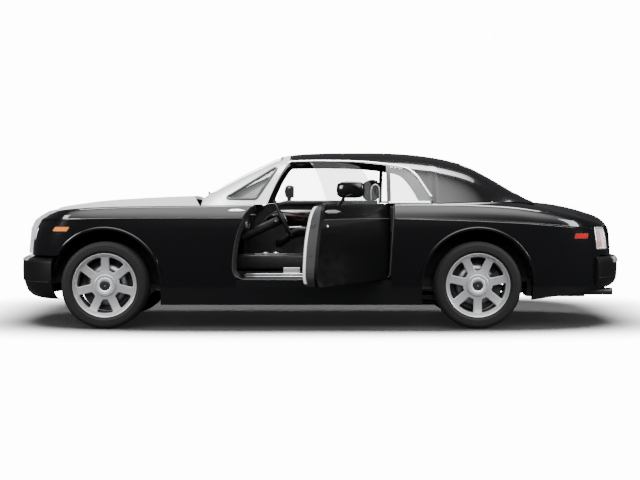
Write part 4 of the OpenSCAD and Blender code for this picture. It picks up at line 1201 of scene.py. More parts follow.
def softbox(size, at, r=6.0):
    """A block with rounded edges: points and faces."""
    sx, sy, sz = (v / 2 for v in size)
    r = min(r, sx, sy, sz)
    steps = range(ROUND_STEPS + 1)
    prof = []
    for k in steps:
        a = math.pi / 2 * k / ROUND_STEPS
        prof.append((r * (1 - math.sin(a)), -sz + r * (1 - math.cos(a))))
    prof += [(d, -z) for d, z in prof[::-1]]
    x, y = sx - r, sy - r
    rings = []
    for d, z in prof:
        ring = []
        rr = max(r - d, 0.01)
        for cx, cy, a0 in ((x, y, 0), (-x, y, 90), (-x, -y, 180), (x, -y, 270)):
            for k in steps:
                a = math.radians(a0 + 90 * k / ROUND_STEPS)
                ring.append((cx + rr * math.cos(a), cy + rr * math.sin(a), z))
        rings.append(ring)
    p, f = loft(rings)
    return p + np.array(at, float), f


def tube(path, r, n=12):
    """Round bar along a path: points and faces."""
    p = np.asarray(path, float)
    t = circle(n)
    rings = []
    for q, w in zip(p, unit_rows(np.gradient(p, axis=0))):
        a = np.cross(w, TUBE_REF)
        a /= np.linalg.norm(a)
        b = np.cross(w, a)
        rings.append(q + r * (np.outer(np.cos(t), a) + np.outer(np.sin(t), b)))
    return loft(rings)


# Wheels and tyres
WINDOW_OUT, WINDOW_IN, SPOKE_EDGE, FACE_R = 239, 144, 49.0, 263
FACE_T, BEVEL_T = 26, 15
FACE_PROFILE = [[0, 88], [90, 87], [150, 84], [220, 88], [262, 95]]
WHEEL_HANDS = (("left", -WHEEL_Y, 0), ("right", WHEEL_Y, 180))
# Turned parts of a wheel: profile of radius and height, steps round, material
WHEEL_TURNED = [
    ([(268, 109), (268, -109), (285, -110.4), (286, -117), (280, -118), (254, -113), (250, -60), (246, 0),
      (249, 60), (256, 88), (260, 97), (266, 103), (275, 112), (281, 117), (285, 117.6), (286.5, 114),
      (286, 110.5), (272, 110.3)], 112, 0),
    ([(253, -105), (249, -60), (245, 0), (248, 62), (243, 62), (240, 0), (244, -60), (248, -105)], 96, 2),
    ([(74, -34), (186, -34), (187, -36), (187, -43), (178, -44), (178, -52), (187, -53), (187, -60),
      (186, -62), (74, -62)], 96, 3),
    ([(34.05, 56), (34.05, -62), (76, -62), (76, -30), (72, -26), (72, 66), (60, 70), (36, 70)], 64, 2),
    ([(99, 84), (98, 92), (94, 95.5), (88, 96.5), (74, 95.5), (68, 95), (68, 80)], 96, 0),
    ([(69, 82), (69, 96), (66, 98.5), (60, 98), (52, 95.5), (47.5, 95), (47, 93), (47, 80)], 96, 1),
    ([(46.6, 90), (46.6, 96.6), (44, 98), (30, 99), (12, 99.6), (0.1, 99.8), (0.1, 84)], 64, 4)]


def wheel_window(k, grow):
    """One opening of the wheel face between two spokes."""
    mid = (k + 0.5) * 360 / SPOKES
    far, near = (math.degrees(math.pi / SPOKES - math.asin(SPOKE_EDGE / r))
                 for r in (WINDOW_OUT, WINDOW_IN))
    line = [(WINDOW_OUT, mid + a) for a in np.linspace(-far, far, 7)]
    line += [(WINDOW_IN, mid + a) for a in np.linspace(near, -near, 3)]
    return rounded([[r * c for c in cos_sin(a)] for r, a in line], grow, 2)


def wheel_front(uv):
    high = curve(FACE_PROFILE, np.hypot(*uv.T))
    return np.column_stack([uv[:, 0], -high, uv[:, 1]])


def wheel_back(uv):
    return wheel_front(uv) + np.array([0, FACE_T, 0])


def facing(points, faces, way):
    """The faces, turned over where they don't look along Y the given way."""
    a, b, c = (points[i] for i in faces[0])
    return flipped(faces) if np.cross(b - a, c - a)[1] * way < 0 else faces


def wheel_face(build):
    t = circle(112)
    rim = FACE_R * np.column_stack([np.cos(t), np.sin(t)])
    outer, inner = ([wheel_window(k, grow) for k in range(SPOKES)] for grow in (19.0, 12.0))
    uv, faces = fill([rim] + outer, (15, 15))
    points, n = wheel_front(uv), normals(wheel_front, uv)
    build.add(points, facing(points, faces, -1), 0, n * -np.sign(n[:, 1:2]))
    uv, faces = fill([rim] + inner, (30, 30))
    points = wheel_back(uv)
    build.add(points, facing(points, faces, 1), 2)
    for a, b in zip(outer, inner):
        low = wheel_front(b) + np.array([0, BEVEL_T, 0])
        build.add(*loft([wheel_front(a), low], ends=False), 1)
        build.add(*loft([low, wheel_back(b)], ends=False), 2)
    build.add(*loft([wheel_front(rim), wheel_back(rim)], ends=False), 0)


def wheel_build(first):
    """A wheel whose first spoke stands at an angle."""
    build = Build()
    wheel_face(build)
    for profile, n, m in WHEEL_TURNED:
        build.add(*lathe(profile, n, True), m)
    return build.turned(lambda p: p @ spin_y(-first).T)


BEAD = (268.3, 109.6)
TYRE_WALL = [BEAD, (288, 110), (288.3, 118), (292, 122.5), (300, 127.3), (306, 128.6), (308, 130.6),
             (314, 131), (316, 130), (325, 132.3), (338, 132.4), (340, 131.2), (342, 132.2), (352, 130.9),
             (362, 128.4), (371, 125), (378.5, 119), (384, 113.5)]
TREAD_ROWS = [-113.5, -108, -103, -98, -96, -88, -86, -66, -60, -58, -48, -46, -26, -20, -18, -6, -4]
TREAD_CROWN = [[0, 387.8], [95, 387.6], [103, 386.5], [108, 384.6], [113.5, 384]]
TREAD_PITCH = 8
# Gaps between the blocks: from and to across the tread, steps of the pitch, depth
TREAD_GAPS = [(66, 110, (0, 1), 5.0), (25, 60, (4,), 5.0), (-1, 19, (6,), 3.5)]
GROOVES, GROOVE_DEEP = [(63, 4), (22, 3.4)], 7.0


def tyre_build():
    """Tyre with a blocked tread, plain ribbed side walls and no lettering."""
    build = Build()
    n = 192
    p, f = lathe(TYRE_WALL, n)
    build.add(p, flipped(f), 0)
    build.add(mirrored(p), f, 0)
    build.add(*lathe([BEAD, (BEAD[0], -BEAD[1])], n), 0)
    h = np.array(TREAD_ROWS)
    h = np.concatenate([h, -h[::-1]])
    zone = np.abs(h)
    crown = curve(TREAD_CROWN, zone)
    for middle, half in GROOVES:
        crown[np.abs(zone - middle) < half] -= GROOVE_DEEP
    rings = []
    for i, a in enumerate(circle(n * 2)):
        r = crown.copy()
        for low, high, steps, deep in TREAD_GAPS:
            if i % TREAD_PITCH in steps:
                r[(zone > low) & (zone < high)] -= deep
        rings.append(np.column_stack([r * math.cos(a), -h, r * math.sin(a)]))
    build.add(*loft(rings + rings[:1], ends=False, closed=False), 1)
    return build


SHIELD = [(100, -71), (160, -70), (222, -67), (233, -66), (234, -68), (222, -70.5), (160, -73.5),
          (100, -74)]


def shields():
    """Dust shields behind the brake discs, on the front hub carriers and on the body at the rear."""
    for name, axle, carrier in (("front", AXLE_F, "knuckle_%s"), ("rear", AXLE_R, None)):
        for hand, y, turn in WHEEL_HANDS:
            build = Build()
            put(build, lathe(SHIELD, 72, True), moved((axle, y, WHEEL_Z), turn))
            build.piece("dust_shield_%s_%s" % (name, hand), BARREL, carrier % hand if carrier else "body")


def wheels():
    tyre = tyre_build()
    for name, x, first in (("front", AXLE_F, 90), ("rear", AXLE_R, -90)):
        wheel = wheel_build(first)
        for hand, y, turn in WHEEL_HANDS:
            place = moved((x, y, WHEEL_Z), turn)
            body = "wheel_%s_%s" % (name, hand)
            rim = wheel.turned(place).piece("road_" + body, [ALLOY, POLISHED, BARREL, DISC, CAP], body,
                                            slot="wheel")
            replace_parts(rim, body)
            rubber = tyre.turned(place).piece("road_tyre_%s_%s" % (name, hand), [RUBBER, TREAD], body,
                                              slot="tyre")
            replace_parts(rubber, "tyre_%s_%s" % (name, hand))


POLISHED = material("polished_alloy", (0.84, 0.85, 0.86), 0.2, 0.45, scale=60, vary=0.04, spread=0.05)
BARREL = material("dark_barrel", (0.05, 0.05, 0.053), 0.45, 0.7, scale=50, vary=0.3, bump=0.1)
CAP = material("cap_black", (0.02, 0.02, 0.022), 0.18, coat=0.6, scale=80, vary=0.3, spread=0.05)
TREAD = material("tread_rubber", (0.012, 0.012, 0.013), 0.8, scale=220, vary=0.4, bump=0.4, spread=0.08)
wheels()
shields()


# Lamps
def ring_of(loop, n):
    """A closed loop with n even points, its first point again at the end."""
    loop = np.asarray(loop, float)
    return spread_line(np.vstack([loop, loop[:1]]), n)


def lens_box(build, loop, deep, step, mats):
    """Lamp under a clear lens: lens, chrome frame, side walls and back; mats are their numbers."""
    lens, frame_m, wall_m, back_m = mats
    sheet(build, loop, step, side_point, 3, 8, lens)
    ring = ring_of(loop, 60)
    trim_on(build, side_point, ring, 13, 5, lift=-2.0, m=frame_m)
    build.add(*loft([side_point(ring[:-1], 9), side_point(ring[:-1], deep)], ends=False), wall_m)
    sheet(build, loop, step, side_point, deep, deep + 5, back_m)


BOWL = [(50, 0), (48, -6), (40, -19), (24, -29), (9, -32), (0.1, -32), (0.1, -36), (26, -33), (43, -22),
        (53, -6), (53, 0)]
BULB = [(0.1, -6), (9, -8), (14, -14), (14, -24), (9, -31), (0.1, -32)]
BOWL_SCALE = np.array([0.86, 0.8])


def head_lamp():
    build = Build()
    a, b = s_of_nose(408), s_of_nose(697)
    edge = 12 * np.sign(a - b)
    a, b = a - edge, b + edge
    loop = rounded([[a, 800], [b, 800], [b, 880], [a, 880]], 10, 5)
    lens_box(build, loop, 50, (20, 18), (0, 1, 2, 2))
    for y in (470, 560, 645):
        x, py, z = side_point(np.array([[s_of_nose(y), 840.0]]), 16)[0]
        dx, dy = plan_dir(x, -py)
        turn = max(-90, min(-50, -abs(math.degrees(math.atan2(-dx, dy)))))
        for shape, m in ((BOWL, 1), (BULB, 0)):
            put(build, lathe(np.array(shape) * BOWL_SCALE, 40, True), moved((x + 4, py, z), turn), m)
    return build


def marker_lens(x0, x1, z0, z1, slant, m):
    build = Build()
    r = 5
    quad = [[x0 + r, z0 + r], [x1 - r, z0 + r], [x1 + slant - r, z1 - r], [x0 + slant + r, z1 - r]]
    sheet(build, side_loop(rounded(quad, r, 4)), (12, 8), side_point, -4.5, 8, m)
    sheet(build, side_loop(rounded(quad, r + 5, 4)), (14, 10), side_point, -1.0, 9, 2)
    return build


def tail_lamp():
    build = Build()
    lens_box(build, tail_opening(2498, 660, 709.0, 897.0, 10), 44, (18, 18), (0, 1, 4, 4))
    a, b = s_of_x(2498), s_of_tail(660)
    for u, w in ((0.22, 0.10), (0.52, 0.03)):
        c, d = mix(a, b, u - w), mix(a, b, u + w)
        sheet(build, [[c, 722], [d, 722], [d, 868], [c, 868]], (8, 16), side_point, 9.5, 20, 3)
    c, d = mix(a, b, 0.18), mix(a, b, 0.52)
    spot = rounded([[c, 728], [d, 728], [d, 764], [c, 764]], 10, 4)
    sheet(build, spot, (10, 10), side_point, 9, 24, 3)
    return build


def lamps():
    front = joined(head_lamp(), marker_lens(-2388, -2252, 870, 906, 20, 3))
    obj = both_sides(front).piece("head_lamps", [CLEAR, CHROME, TRIM, AMBER], "body")
    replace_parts(obj, "front_lamps")
    rear = joined(tail_lamp(), marker_lens(2275, 2400, 805, 845, 10, 3))
    obj = both_sides(rear).piece("tail_lamp_units", [CLEAR, CHROME, TRIM, RED, GLOW_WHITE], "body")
    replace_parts(obj, "tail_lamps")


# White with a faint white glow: lamp light at the back of the tail lamps, and painted light on the pale
# edge strip at each door's front end, which is no lamp.
GLOW_WHITE = material("lamp_reflector_and_painted_glow", (0.80, 0.81, 0.82), 0.18, 0.3, scale=(20, 20, 260), vary=0.12,
                      bump=0.4, kind="cells", glow=((1, 1, 1), 0.3))


# Door mirrors on their stalks
MIRROR_X, MIRROR_Y, MIRROR_Z = -316, -1060, 1232


def power(v, n):
    return np.sign(v) * np.abs(v) ** n


def mirror_oval(rows):
    """Rings in the mirror's rear opening, from rows of depth, half width and half height."""
    t = circle(56)
    wide, high = power(np.cos(t), 0.6), power(np.sin(t), 0.7)
    return loft([np.column_stack([np.full(56, MIRROR_X + d), MIRROR_Y + w * wide, MIRROR_Z + h * high])
                 for d, w, h in rows])


def mirror_head():
    build = Build()
    t = circle(48)
    x, z = power(np.cos(t), 2 / 2.7), power(np.sin(t), 2 / 2.7)
    x = np.where(x > 0, np.minimum(x * 48, 40), x * 48)
    rings = []
    for v in np.linspace(-1, 1, 33):
        k = max(1 - abs(v) ** 3.4, 0.02) ** (1 / 3.0)
        rings.append(np.column_stack([MIRROR_X + x * k, np.full(48, MIRROR_Y + 123 * v),
                                      MIRROR_Z + 68 * z * (0.25 + 0.75 * k)]))
    build.add(*loft(rings), 0)
    build.add(*mirror_oval(((36, 113, 60), (43, 112, 59), (45, 108, 55), (45, 105, 52))), 2)
    build.add(*mirror_oval(((44, 105, 52), (45.6, 105, 52), (46, 104, 51))), 1)
    x = -318.0
    root = float(-base_y(np.float64(x))) - 10
    path = [(x, root + 8, 1066.0), (x, root - 8, 1092), (x, root - 30, 1125), (x, root - 58, 1155),
            (x, -990, 1180)]
    t = circle(20)
    rings = [q + np.column_stack([mix(26, 20, i / 13) * np.cos(t), 9 * np.sin(t), 9 * np.sin(t)])
             for i, q in enumerate(spread_line(path, 14))]
    build.add(*loft(rings), 0)
    return build


def mirrors():
    left, right = door_pair(mirror_head(), "door_mirror_%s", [PAINT, MIRROR, TRIM])
    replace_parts(left, "mirror_left")
    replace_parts(right, "mirror_right")


# Bright work and seals on the greenhouse
def on_dome(build, line, width, height, n, lift=0.0):
    """Trim along a line in X and Z on the left of the greenhouse."""
    trim_on(build, dome_point, dome_loop(spread_line(line, n)), width, height, DOME_SCALE, lift=lift)


def window_seal(build, loop):
    """Flat seal round a window loop in X and Y."""
    uv = plan_loop(ring_of(loop, 120))
    p = dome_point(uv)
    n = normals(dome_point, uv, DOME_SCALE)
    n *= np.sign(n[:, 2:3])
    side = unit_rows(np.cross(np.gradient(p, axis=0), n))
    rings = [p[i] + np.outer([-9, -9, 0, 9, 9], side[i]) + np.outer([-3, 1.5, 2.5, 1.5, -3], n[i])
             for i in range(len(p))]
    build.add(*loft(rings, ends=False))


def greenhouse_trim():
    build = Build()
    line = spread_line(day_line()[1:], 160)
    for _ in range(3):
        line[1:-1] = (line[:-2] + 2 * line[1:-1] + line[2:]) / 4
    edge = shifted(line, 12)
    on_dome(build, edge[edge[:, 0] < 1000], 22, 6, 150)
    x = np.linspace(612, 985, 20)
    on_dome(build, np.column_stack([x, 1125 + 0.006 * (x - 612)]), 22, 6, 30)
    both_sides(build).piece("bright_window_strips", CHROME, "body", slot="chrome_trim")
    build = Build()
    on_dome(build, ring_of(vent_loop(), 60), 24, 6, 60, lift=3.0)
    top_a, top_b = (float(curve(SIDE_TOP, x)) - 2 for x in (596, 632))
    post = dome_loop([[596, 1116], [632, 1116], [632, top_b], [596, top_a]])
    sheet(build, post, DOME_STEP, dome_point, 1, 14, scale=DOME_SCALE)
    build = both_sides(build)
    for loop in (screen_loop(), back_loop()):
        window_seal(build, loop)
    build.piece("window_seals", SEAL, "body")


# Grey for the thin line under the waist crease: a painted highlight of the crease.
WAIST_HIGHLIGHT_GREY = material("waist_painted_highlight", (0.16, 0.16, 0.165), 0.35, 0.3, scale=40, vary=0.15)


# Waist lines that paint a highlight under the crease, spears, keyholes, arch lips and bumper trim
def waist_painted_highlight(build, x0, x1):
    """Thin grey line just under the waist crease, a painted highlight of the crease."""
    x = np.linspace(x0, x1, 40)
    trim_on(build, side_point, np.column_stack([s_of_x(x), curve(RAIL4, x) - 3]), 5, 1.2)


def spear(build, x0, x1, z, high, proud):
    """Pointed bright bar along the shoulder."""
    x = np.linspace(x0, x1, 26)
    t = np.linspace(0, 1, 26)
    taper = np.minimum(1, 6 * t + 0.12) * np.minimum(1, 3 * (1 - t) + 0.1)
    trim_on(build, side_point, np.column_stack([s_of_x(x), level(x, z)]), high, proud, taper=taper)


def side_trim():
    build = Build()
    spear(build, -816, -664, 1052, 30, 9)
    both_sides(build).piece("fender_trim", CHROME, "body", slot="chrome_trim")
    build = Build()
    waist_painted_highlight(build, float(np.interp(980, *zip(*SHUT_REAR))) + SHUT_GAP + 4, 1960)
    waist_painted_highlight(build, -2300, float(np.interp(995, *zip(*SHUT_FRONT))) - SHUT_GAP - 4)
    both_sides(build).piece("waist_painted_highlights", WAIST_HIGHLIGHT_GREY, "body")
    build = Build()
    waist_painted_highlight(build, -655, 640)
    door_pair(build, "door_painted_highlight_%s", WAIST_HIGHLIGHT_GREY)
    build = Build()
    spear(build, -608, -330, 1050, 32, 13)
    lock = side_point(np.array([[s_of_x(-600.0), 934.0]]))[0]
    put(build, lathe([(13, -6), (13, 2), (10, 4.5), (4, 5), (3.4, 3), (0.1, 3), (0.1, -6)], 32, True),
        moved(lock))
    door_pair(build, "door_trim_%s", CHROME, slot="chrome_trim")


def arch_lips():
    """Rolled lips round the wheel arches."""
    build = Build()
    for axle, a0, a1 in ((AXLE_F, 148, 0), (AXLE_R, 178, 2)):
        rim = arc(axle, WHEEL_Z, ARCH_R + 15, a0, a1, 70)
        trim_on(build, side_point, np.column_stack([s_of_x(rim[:, 0]), rim[:, 1]]), 26, 5)
    both_sides(build).piece("arch_lips", PAINT, "body", slot="paint")


def bumper_trim():
    build = Build()
    for point, reach, low, high in ((FRONT_BAND, 640, 5.75, 7.15), (REAR_BAND, 600, 3.9, 5.3)):
        low, high = low + 0.1, high - 0.1
        loop = rounded([[-reach, low], [reach, low], [reach, high], [-reach, high]], 0.1, 3)
        sheet(build, loop, (40, 0.2), point, -9, 6, scale=BAND_SCALE)
    build.piece("bumper_bright_bars", CHROME, "body", slot="chrome_trim")
    build = Build()
    up = np.array([0, 0, 2.6])
    for point, reach, t in ((FRONT_BAND, 870, 3.5), (REAR_BAND, 800, 2.4)):
        for hand in (-1, 1):
            uv = np.column_stack([hand * np.linspace(80, reach, 40), np.full(40, t)])
            rings = [[p - up, p + up, q + up, q - up] for p, q in zip(point(uv, -1.2), point(uv, 6))]
            build.add(*loft(rings))
    build.piece("bumper_creases", SEAL, "body")


lamps()
mirrors()
greenhouse_trim()
side_trim()
arch_lips()
bumper_trim()


# Cabin
SEAT_Y = 425.0


EDGE_STEPS = 5


def pillow(profile, width, edge, taper=1.0):
    """Side profile in X and Z drawn out over a width about Y = 0, with rounded side edges."""
    prof = ring_of(profile, 61)[:-1]
    for _ in range(2):
        prof = (np.roll(prof, 1, axis=0) + 2 * prof + np.roll(prof, -1, axis=0)) / 4
    mid = prof.mean(0)
    reach = np.abs(prof - mid).max(0)
    rings = []
    for k in range(EDGE_STEPS + 1):
        a = math.pi / 2 * k / EDGE_STEPS
        rings.append((-width / 2 + edge * (1 - math.sin(a)), edge * (1 - math.cos(math.pi / 2 - a))))
    rings += [(-y, d) for y, d in rings[::-1]]
    low, high = prof[:, 1].min(), prof[:, 1].max()
    out = []
    for y, d in rings:
        q = mid + (prof - mid) * (1 - d / reach)
        t = (q[:, 1] - low) / (high - low)
        out.append(np.column_stack([q[:, 0], y * mix(1.0, taper, t), q[:, 1]]))
    return loft(out)


CLOTH_FRAMES, CLOTH_PRESSURE = 20, 4.0


def corners(data):
    """Points of a mesh as an array."""
    flat = np.empty(len(data.vertices) * 3)
    data.vertices.foreach_get("co", flat)
    return flat.reshape(-1, 3)


def swollen(points, faces, voxel, cap):
    """Points and faces of a closed shape after remeshing and a short inflated cloth run."""
    raw = bpy.data.meshes.new("pad_shape")
    raw.from_pydata((np.asarray(points, float) * MM).tolist(), [], [list(f) for f in faces])
    raw.update()
    obj = bpy.data.objects.new("pad_shape", raw)
    scene = bpy.context.scene
    scene.collection.objects.link(obj)
    grid = obj.modifiers.new("grid", "REMESH")
    grid.mode = "VOXEL"
    grid.voxel_size = voxel * MM
    deps = bpy.context.evaluated_depsgraph_get()
    fine = bpy.data.meshes.new_from_object(obj.evaluated_get(deps))
    obj.modifiers.clear()
    obj.data = fine
    start = corners(fine)
    end = start.copy()
    cloth = obj.modifiers.new("cloth", "CLOTH")
    cloth.settings.use_pressure = True
    cloth.settings.uniform_pressure_force = CLOTH_PRESSURE
    cloth.settings.effector_weights.gravity = 0.0
    cloth.settings.quality = 4
    cloth.point_cache.frame_start, cloth.point_cache.frame_end = 1, CLOTH_FRAMES
    for k in range(1, CLOTH_FRAMES + 1):
        scene.frame_set(k)
    deps = bpy.context.evaluated_depsgraph_get()
    end = corners(obj.evaluated_get(deps).to_mesh())
    obj.modifiers.clear()
    scene.frame_set(1)
    move = end - start
    far = np.linalg.norm(move, axis=1)
    move *= np.minimum(1.0, cap * MM / np.maximum(far, 1e-9))[:, None]
    quads = [list(p.vertices) for p in fine.polygons]
    bpy.data.objects.remove(obj)
    bpy.data.meshes.remove(fine)
    bpy.data.meshes.remove(raw)
    return (start + move) / MM, quads


def pad(name, shape, y, node, mirror, groove):
    """One padded piece, left-hand or mirrored to the right."""
    p, f = shape
    p = (groove(p) if groove else p) + np.array([0, y, 0])
    if mirror:
        p, f = mirrored(p), flipped(f)
    obj = mesh(name, p, f, HIDE, "body")
    smooth = obj.modifiers.new("subdivision", "SUBSURF")
    smooth.levels = smooth.render_levels = 1
    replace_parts(obj, node)


def channels(lines, deep):
    """A move of points that presses sewn channels into a pad along given distances from its middle."""
    def press(p):
        away = unit_rows(p - p.mean(0))
        depth = sum(deep * np.exp(-((p[:, 1] - v) / 10) ** 2) for v in lines)
        return p - away * depth[:, None]
    return press


SEAT_PAD = [(-132, 478), (-140, 556), (-110, 588), (100, 576), (342, 552), (350, 470), (300, 455), (0, 453)]
SEAT_BACK = [(338, 500), (356, 600), (446, 1080), (480, 1112), (536, 1102), (548, 1056), (482, 520),
             (430, 462)]
SEAT_HEAD = [(430, 1152), (420, 1296), (450, 1336), (526, 1330), (548, 1288), (538, 1152), (480, 1142)]
REAR_PAD = [(772, 290), (772, 552), (800, 578), (1122, 552), (1140, 470), (1100, 292)]
REAR_BACK = [(1130, 545), (1236, 1068), (1298, 1078), (1362, 996), (1362, 610), (1200, 520)]


HEAD_LOOP = [(470, 1108), (466, 1190), (470, 1250), (482, 1278), (506, 1290), (530, 1278), (542, 1250),
             (545, 1190), (540, 1108)]


def seats():
    front, rear, sewn = "front_seats", "rear_seat", channels((-100, 100), 8)
    pads = [("seat_cushion_%s", pillow(SEAT_PAD, 512, 40), 10, -SEAT_Y, front,
             channels((-150, -60, 60, 150), 9)),
            ("seat_back_%s", pillow(SEAT_BACK, 512, 36, 0.86), 10, -SEAT_Y, front,
             channels((-140, 140), 9)),
            ("seat_headrest_%s", pillow(SEAT_HEAD, 286, 46, 0.9), 10, -SEAT_Y, front, None),
            ("rear_cushion_%s", pillow(REAR_PAD, 370, 40), 12, -345, rear, sewn),
            ("rear_back_%s", pillow(REAR_BACK, 520, 40), 12, -275, rear, sewn)]
    for name, shape, voxel, y, node, groove in pads:
        done = swollen(*shape, voxel, 22.0)
        for hand in ("left", "right"):
            pad(name % hand, done, y, node, hand == "right", groove)
    base = Build()
    base.add(*softbox((440, 380, 130), (170, -SEAT_Y, 378), 18))
    for y in (-150, 150):
        base.add(*softbox((520, 46, 34), (170, -SEAT_Y + y, 291), 8), 1)
    base.add(*tube(spread_line([(x, -SEAT_Y - 172, z) for x, z in HEAD_LOOP], 40), 7), 1)
    both_sides(base).piece("seat_frames", [TRIM, CHROME], "body")


HUB, WHEEL_TILT = np.array([-345, -SEAT_Y, 975.0]), 65
VENT = [(36, -8), (36, 5), (33, 8), (28, 8), (26, 3), (7, 3), (6, 6), (0.1, 6), (0.1, -8)]
KNOB = [(30, 0), (30, 4), (24, 9), (18, 12), (0.1, 13), (0.1, 0)]


def dash_profile(y):
    """Section of the dashboard at a distance from the middle: a raised hood before the driver."""
    hood = 34 * math.exp(-((y + SEAT_Y) / 190) ** 4)
    bow = 36 * (abs(y) / 800) ** 2
    rows = [(-1138, 760), (-1138, 1028), (-1000, 1036), (-820, 1036 + hood * 0.7), (-735, 1030 + hood),
            (-690, 1014 + hood), (-672, 985 + hood * 0.6), (-684, 958), (-688, 905), (-676, 892),
            (-690, 858), (-756, 770), (-860, 708), (-1000, 704)]
    return np.array([[x - (bow if x > -900 else 0), y, z] for x, z in rows])


def dashboard():
    build = Build()
    build.add(*loft([dash_profile(y) for y in np.linspace(-797, 797, 65)]), 0)
    rows = []
    for y in np.linspace(-780, 780, 60):
        a, b = dash_profile(y)[7:9]
        rows.append([a + [4, 0, -4], a + [-12, 0, -2], b + [-12, 0, 2], b + [4, 0, 4]])
    build.add(*loft(rows), 1)
    for y in (-690, -160, 160, 690):
        put(build, lathe(VENT, 40, True), moved((dash_profile(y)[8][0] - 2, y, 932), 90), 2)
    build.add(*softbox((230, 150, 26), (-705, -SEAT_Y, 1003), 10))
    for y, r in ((-80, 48), (0, 40), (80, 48)):
        dial = [(r, -6), (r, 4), (r - 4, 6), (r - 6, 1), (0.1, 1), (0.1, -6)]
        put(build, lathe(dial, 40, True), moved((-684, -SEAT_Y + y, 932), 90), 2)
    build.add(*softbox((1190, 272, 150), (-300, 0, 556), 30))
    build.add(*softbox((760, 190, 10), (-250, 0, 634), 5), 1)
    build.add(*softbox((110, 240, 170), (-845, 0, 650), 24))
    for x in (-520, -420, 40):
        put(build, lathe(KNOB, 32, True), lambda p: p @ spin_x(-90).T + np.array([x, 0, 638]), 2)
    build.add(*softbox((360, 250, 60), (110, 0, 668), 26))
    c, s = cos_sin(WHEEL_TILT)
    axis = np.array([s, 0, c])
    build.add(*tube([HUB - axis * d for d in np.linspace(440, 34, 14)], 43, 28))
    build.add(*tube([HUB - axis * d for d in np.linspace(36, -12, 5)], 14, 20))
    root = HUB - axis * 90
    for hand in (-1, 1):
        stalk = [root + [0, hand * 30, 0], root + [14, hand * 120, 14], root + [20, hand * 165, 18]]
        build.add(*tube(spread_line(stalk, 10), 7, 10), 2)
    obj = build.piece("dashboard_trim", [HIDE, WOOD, CHROME], "body", slot="cabin")
    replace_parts(obj, "dashboard")


GRIP_R, GRIP_T = 182, 13
HUB_PAD = [(16.5, 24), (60, 20), (62, 4), (58, -14), (50, -22), (30, -25), (0.1, -26), (0.1, -23),
           (16.5, -22)]
HUB_RING = [(46, -23.5), (46, -26), (40, -27.5), (38, -26.5), (38, -23.5)]


def steering():
    build = Build()
    ring = circle(16)
    wide = GRIP_R + GRIP_T * np.cos(ring)
    rings = [np.column_stack([wide * math.cos(a), wide * math.sin(a),
                              GRIP_T * np.sin(ring)]) for a in circle(96)]
    build.add(*loft(rings + rings[:1], ends=False), 0)
    for m, profile in enumerate((HUB_PAD, HUB_RING)):
        put(build, lathe(profile, 48, True), lambda p: p @ spin_x(90).T, m)
    for a in (180, 300, 60):
        rows = []
        for r in np.linspace(52, 172, 9):
            w = 16 + 10 * ((r - 112) / 60) ** 2
            rows.append([[r, -w, -5], [r, -w * 0.7, 6], [r, w * 0.7, 6], [r, w, -5]])
        put(build, loft(rows), lambda p: p @ spin_z(a).T, 1 if a == 180 else 0)
    build = build.turned(lambda p: p @ spin_y(WHEEL_TILT).T + HUB)
    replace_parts(build.piece("steering_wheel_rim", [HIDE, CHROME], "steering_wheel", slot="hide"),
                "steering_wheel")


def on_wall(line, depths):
    """Rings of a line in X and Z at depths from the door's inner wall."""
    return loft([np.column_stack([line[:, 0], np.full(len(line), DOOR_WALL + d),
                                  line[:, 1]]) for d in depths])


SPEAKER = [(84, -2), (84, 5), (78, 8), (74, 4), (60, 5), (30, 7), (0.1, 8), (0.1, -2)]


def inner_door():
    """Inside of the closed left door: cap, veneer, armrest, pull, pocket and speaker."""
    build = Build()
    wall = DOOR_WALL
    rows = []
    for x in np.linspace(-448, 585, 30):
        low = 22 * ramp(-330, -448, x)
        ring = [(-892, 1086), (-892, 1128 - low), (-884, 1140 - low), (-870, 1143 - low),
                (-856, 1134 - low),
                (-852, 1112 - low), (-852, 1086)]
        rows.append([[x, y, z] for y, z in ring])
    build.add(*loft(rows), 0)
    plate = rounded([[-540, 950], [-430, 1030], [520, 1030], [520, 920], [-300, 900]], 14, 4)
    for h, m, grow in ((4, 2, 6), (8, 1, 0)):
        line = np.column_stack([plate[:, 0] + grow * np.sign(plate[:, 0]), plate[:, 1]])
        build.add(*on_wall(line, (-2, h - 2, h)), m)
    rows = []
    for x in np.linspace(-450, 460, 40):
        top = 872 - 120 * ramp(-150, -450, x) ** 1.6
        deep = 56 * min(1.0, (1 - ((x - 5) / 470) ** 8)) + 4
        ring = [(-2, top - 95), (-2, top), (deep - 12, top), (deep, top - 14), (deep, top - 40),
                (deep * 0.6, top - 80)]
        rows.append([[x, wall + d, z] for d, z in ring])
    build.add(*loft(rows), 0)
    pull = [(-340, wall + 62, 838), (-330, wall + 70, 868), (-190, wall + 70, 874), (-180, wall + 62, 846)]
    build.add(*tube(spread_line(pull, 24), 7), 2)
    put(build, lathe(SPEAKER, 48, True), moved((-430, wall, 600), 180), 3)
    build.add(*on_wall(rounded([[-280, 536], [430, 536], [430, 650], [-240, 668]], 24, 4), (-2, 16, 22)), 0)
    return build


def door_end_x(z):
    """Station of the door's front end at a height."""
    return float(curve(SHUT_FRONT, np.float64(z))) + INNER_GAP


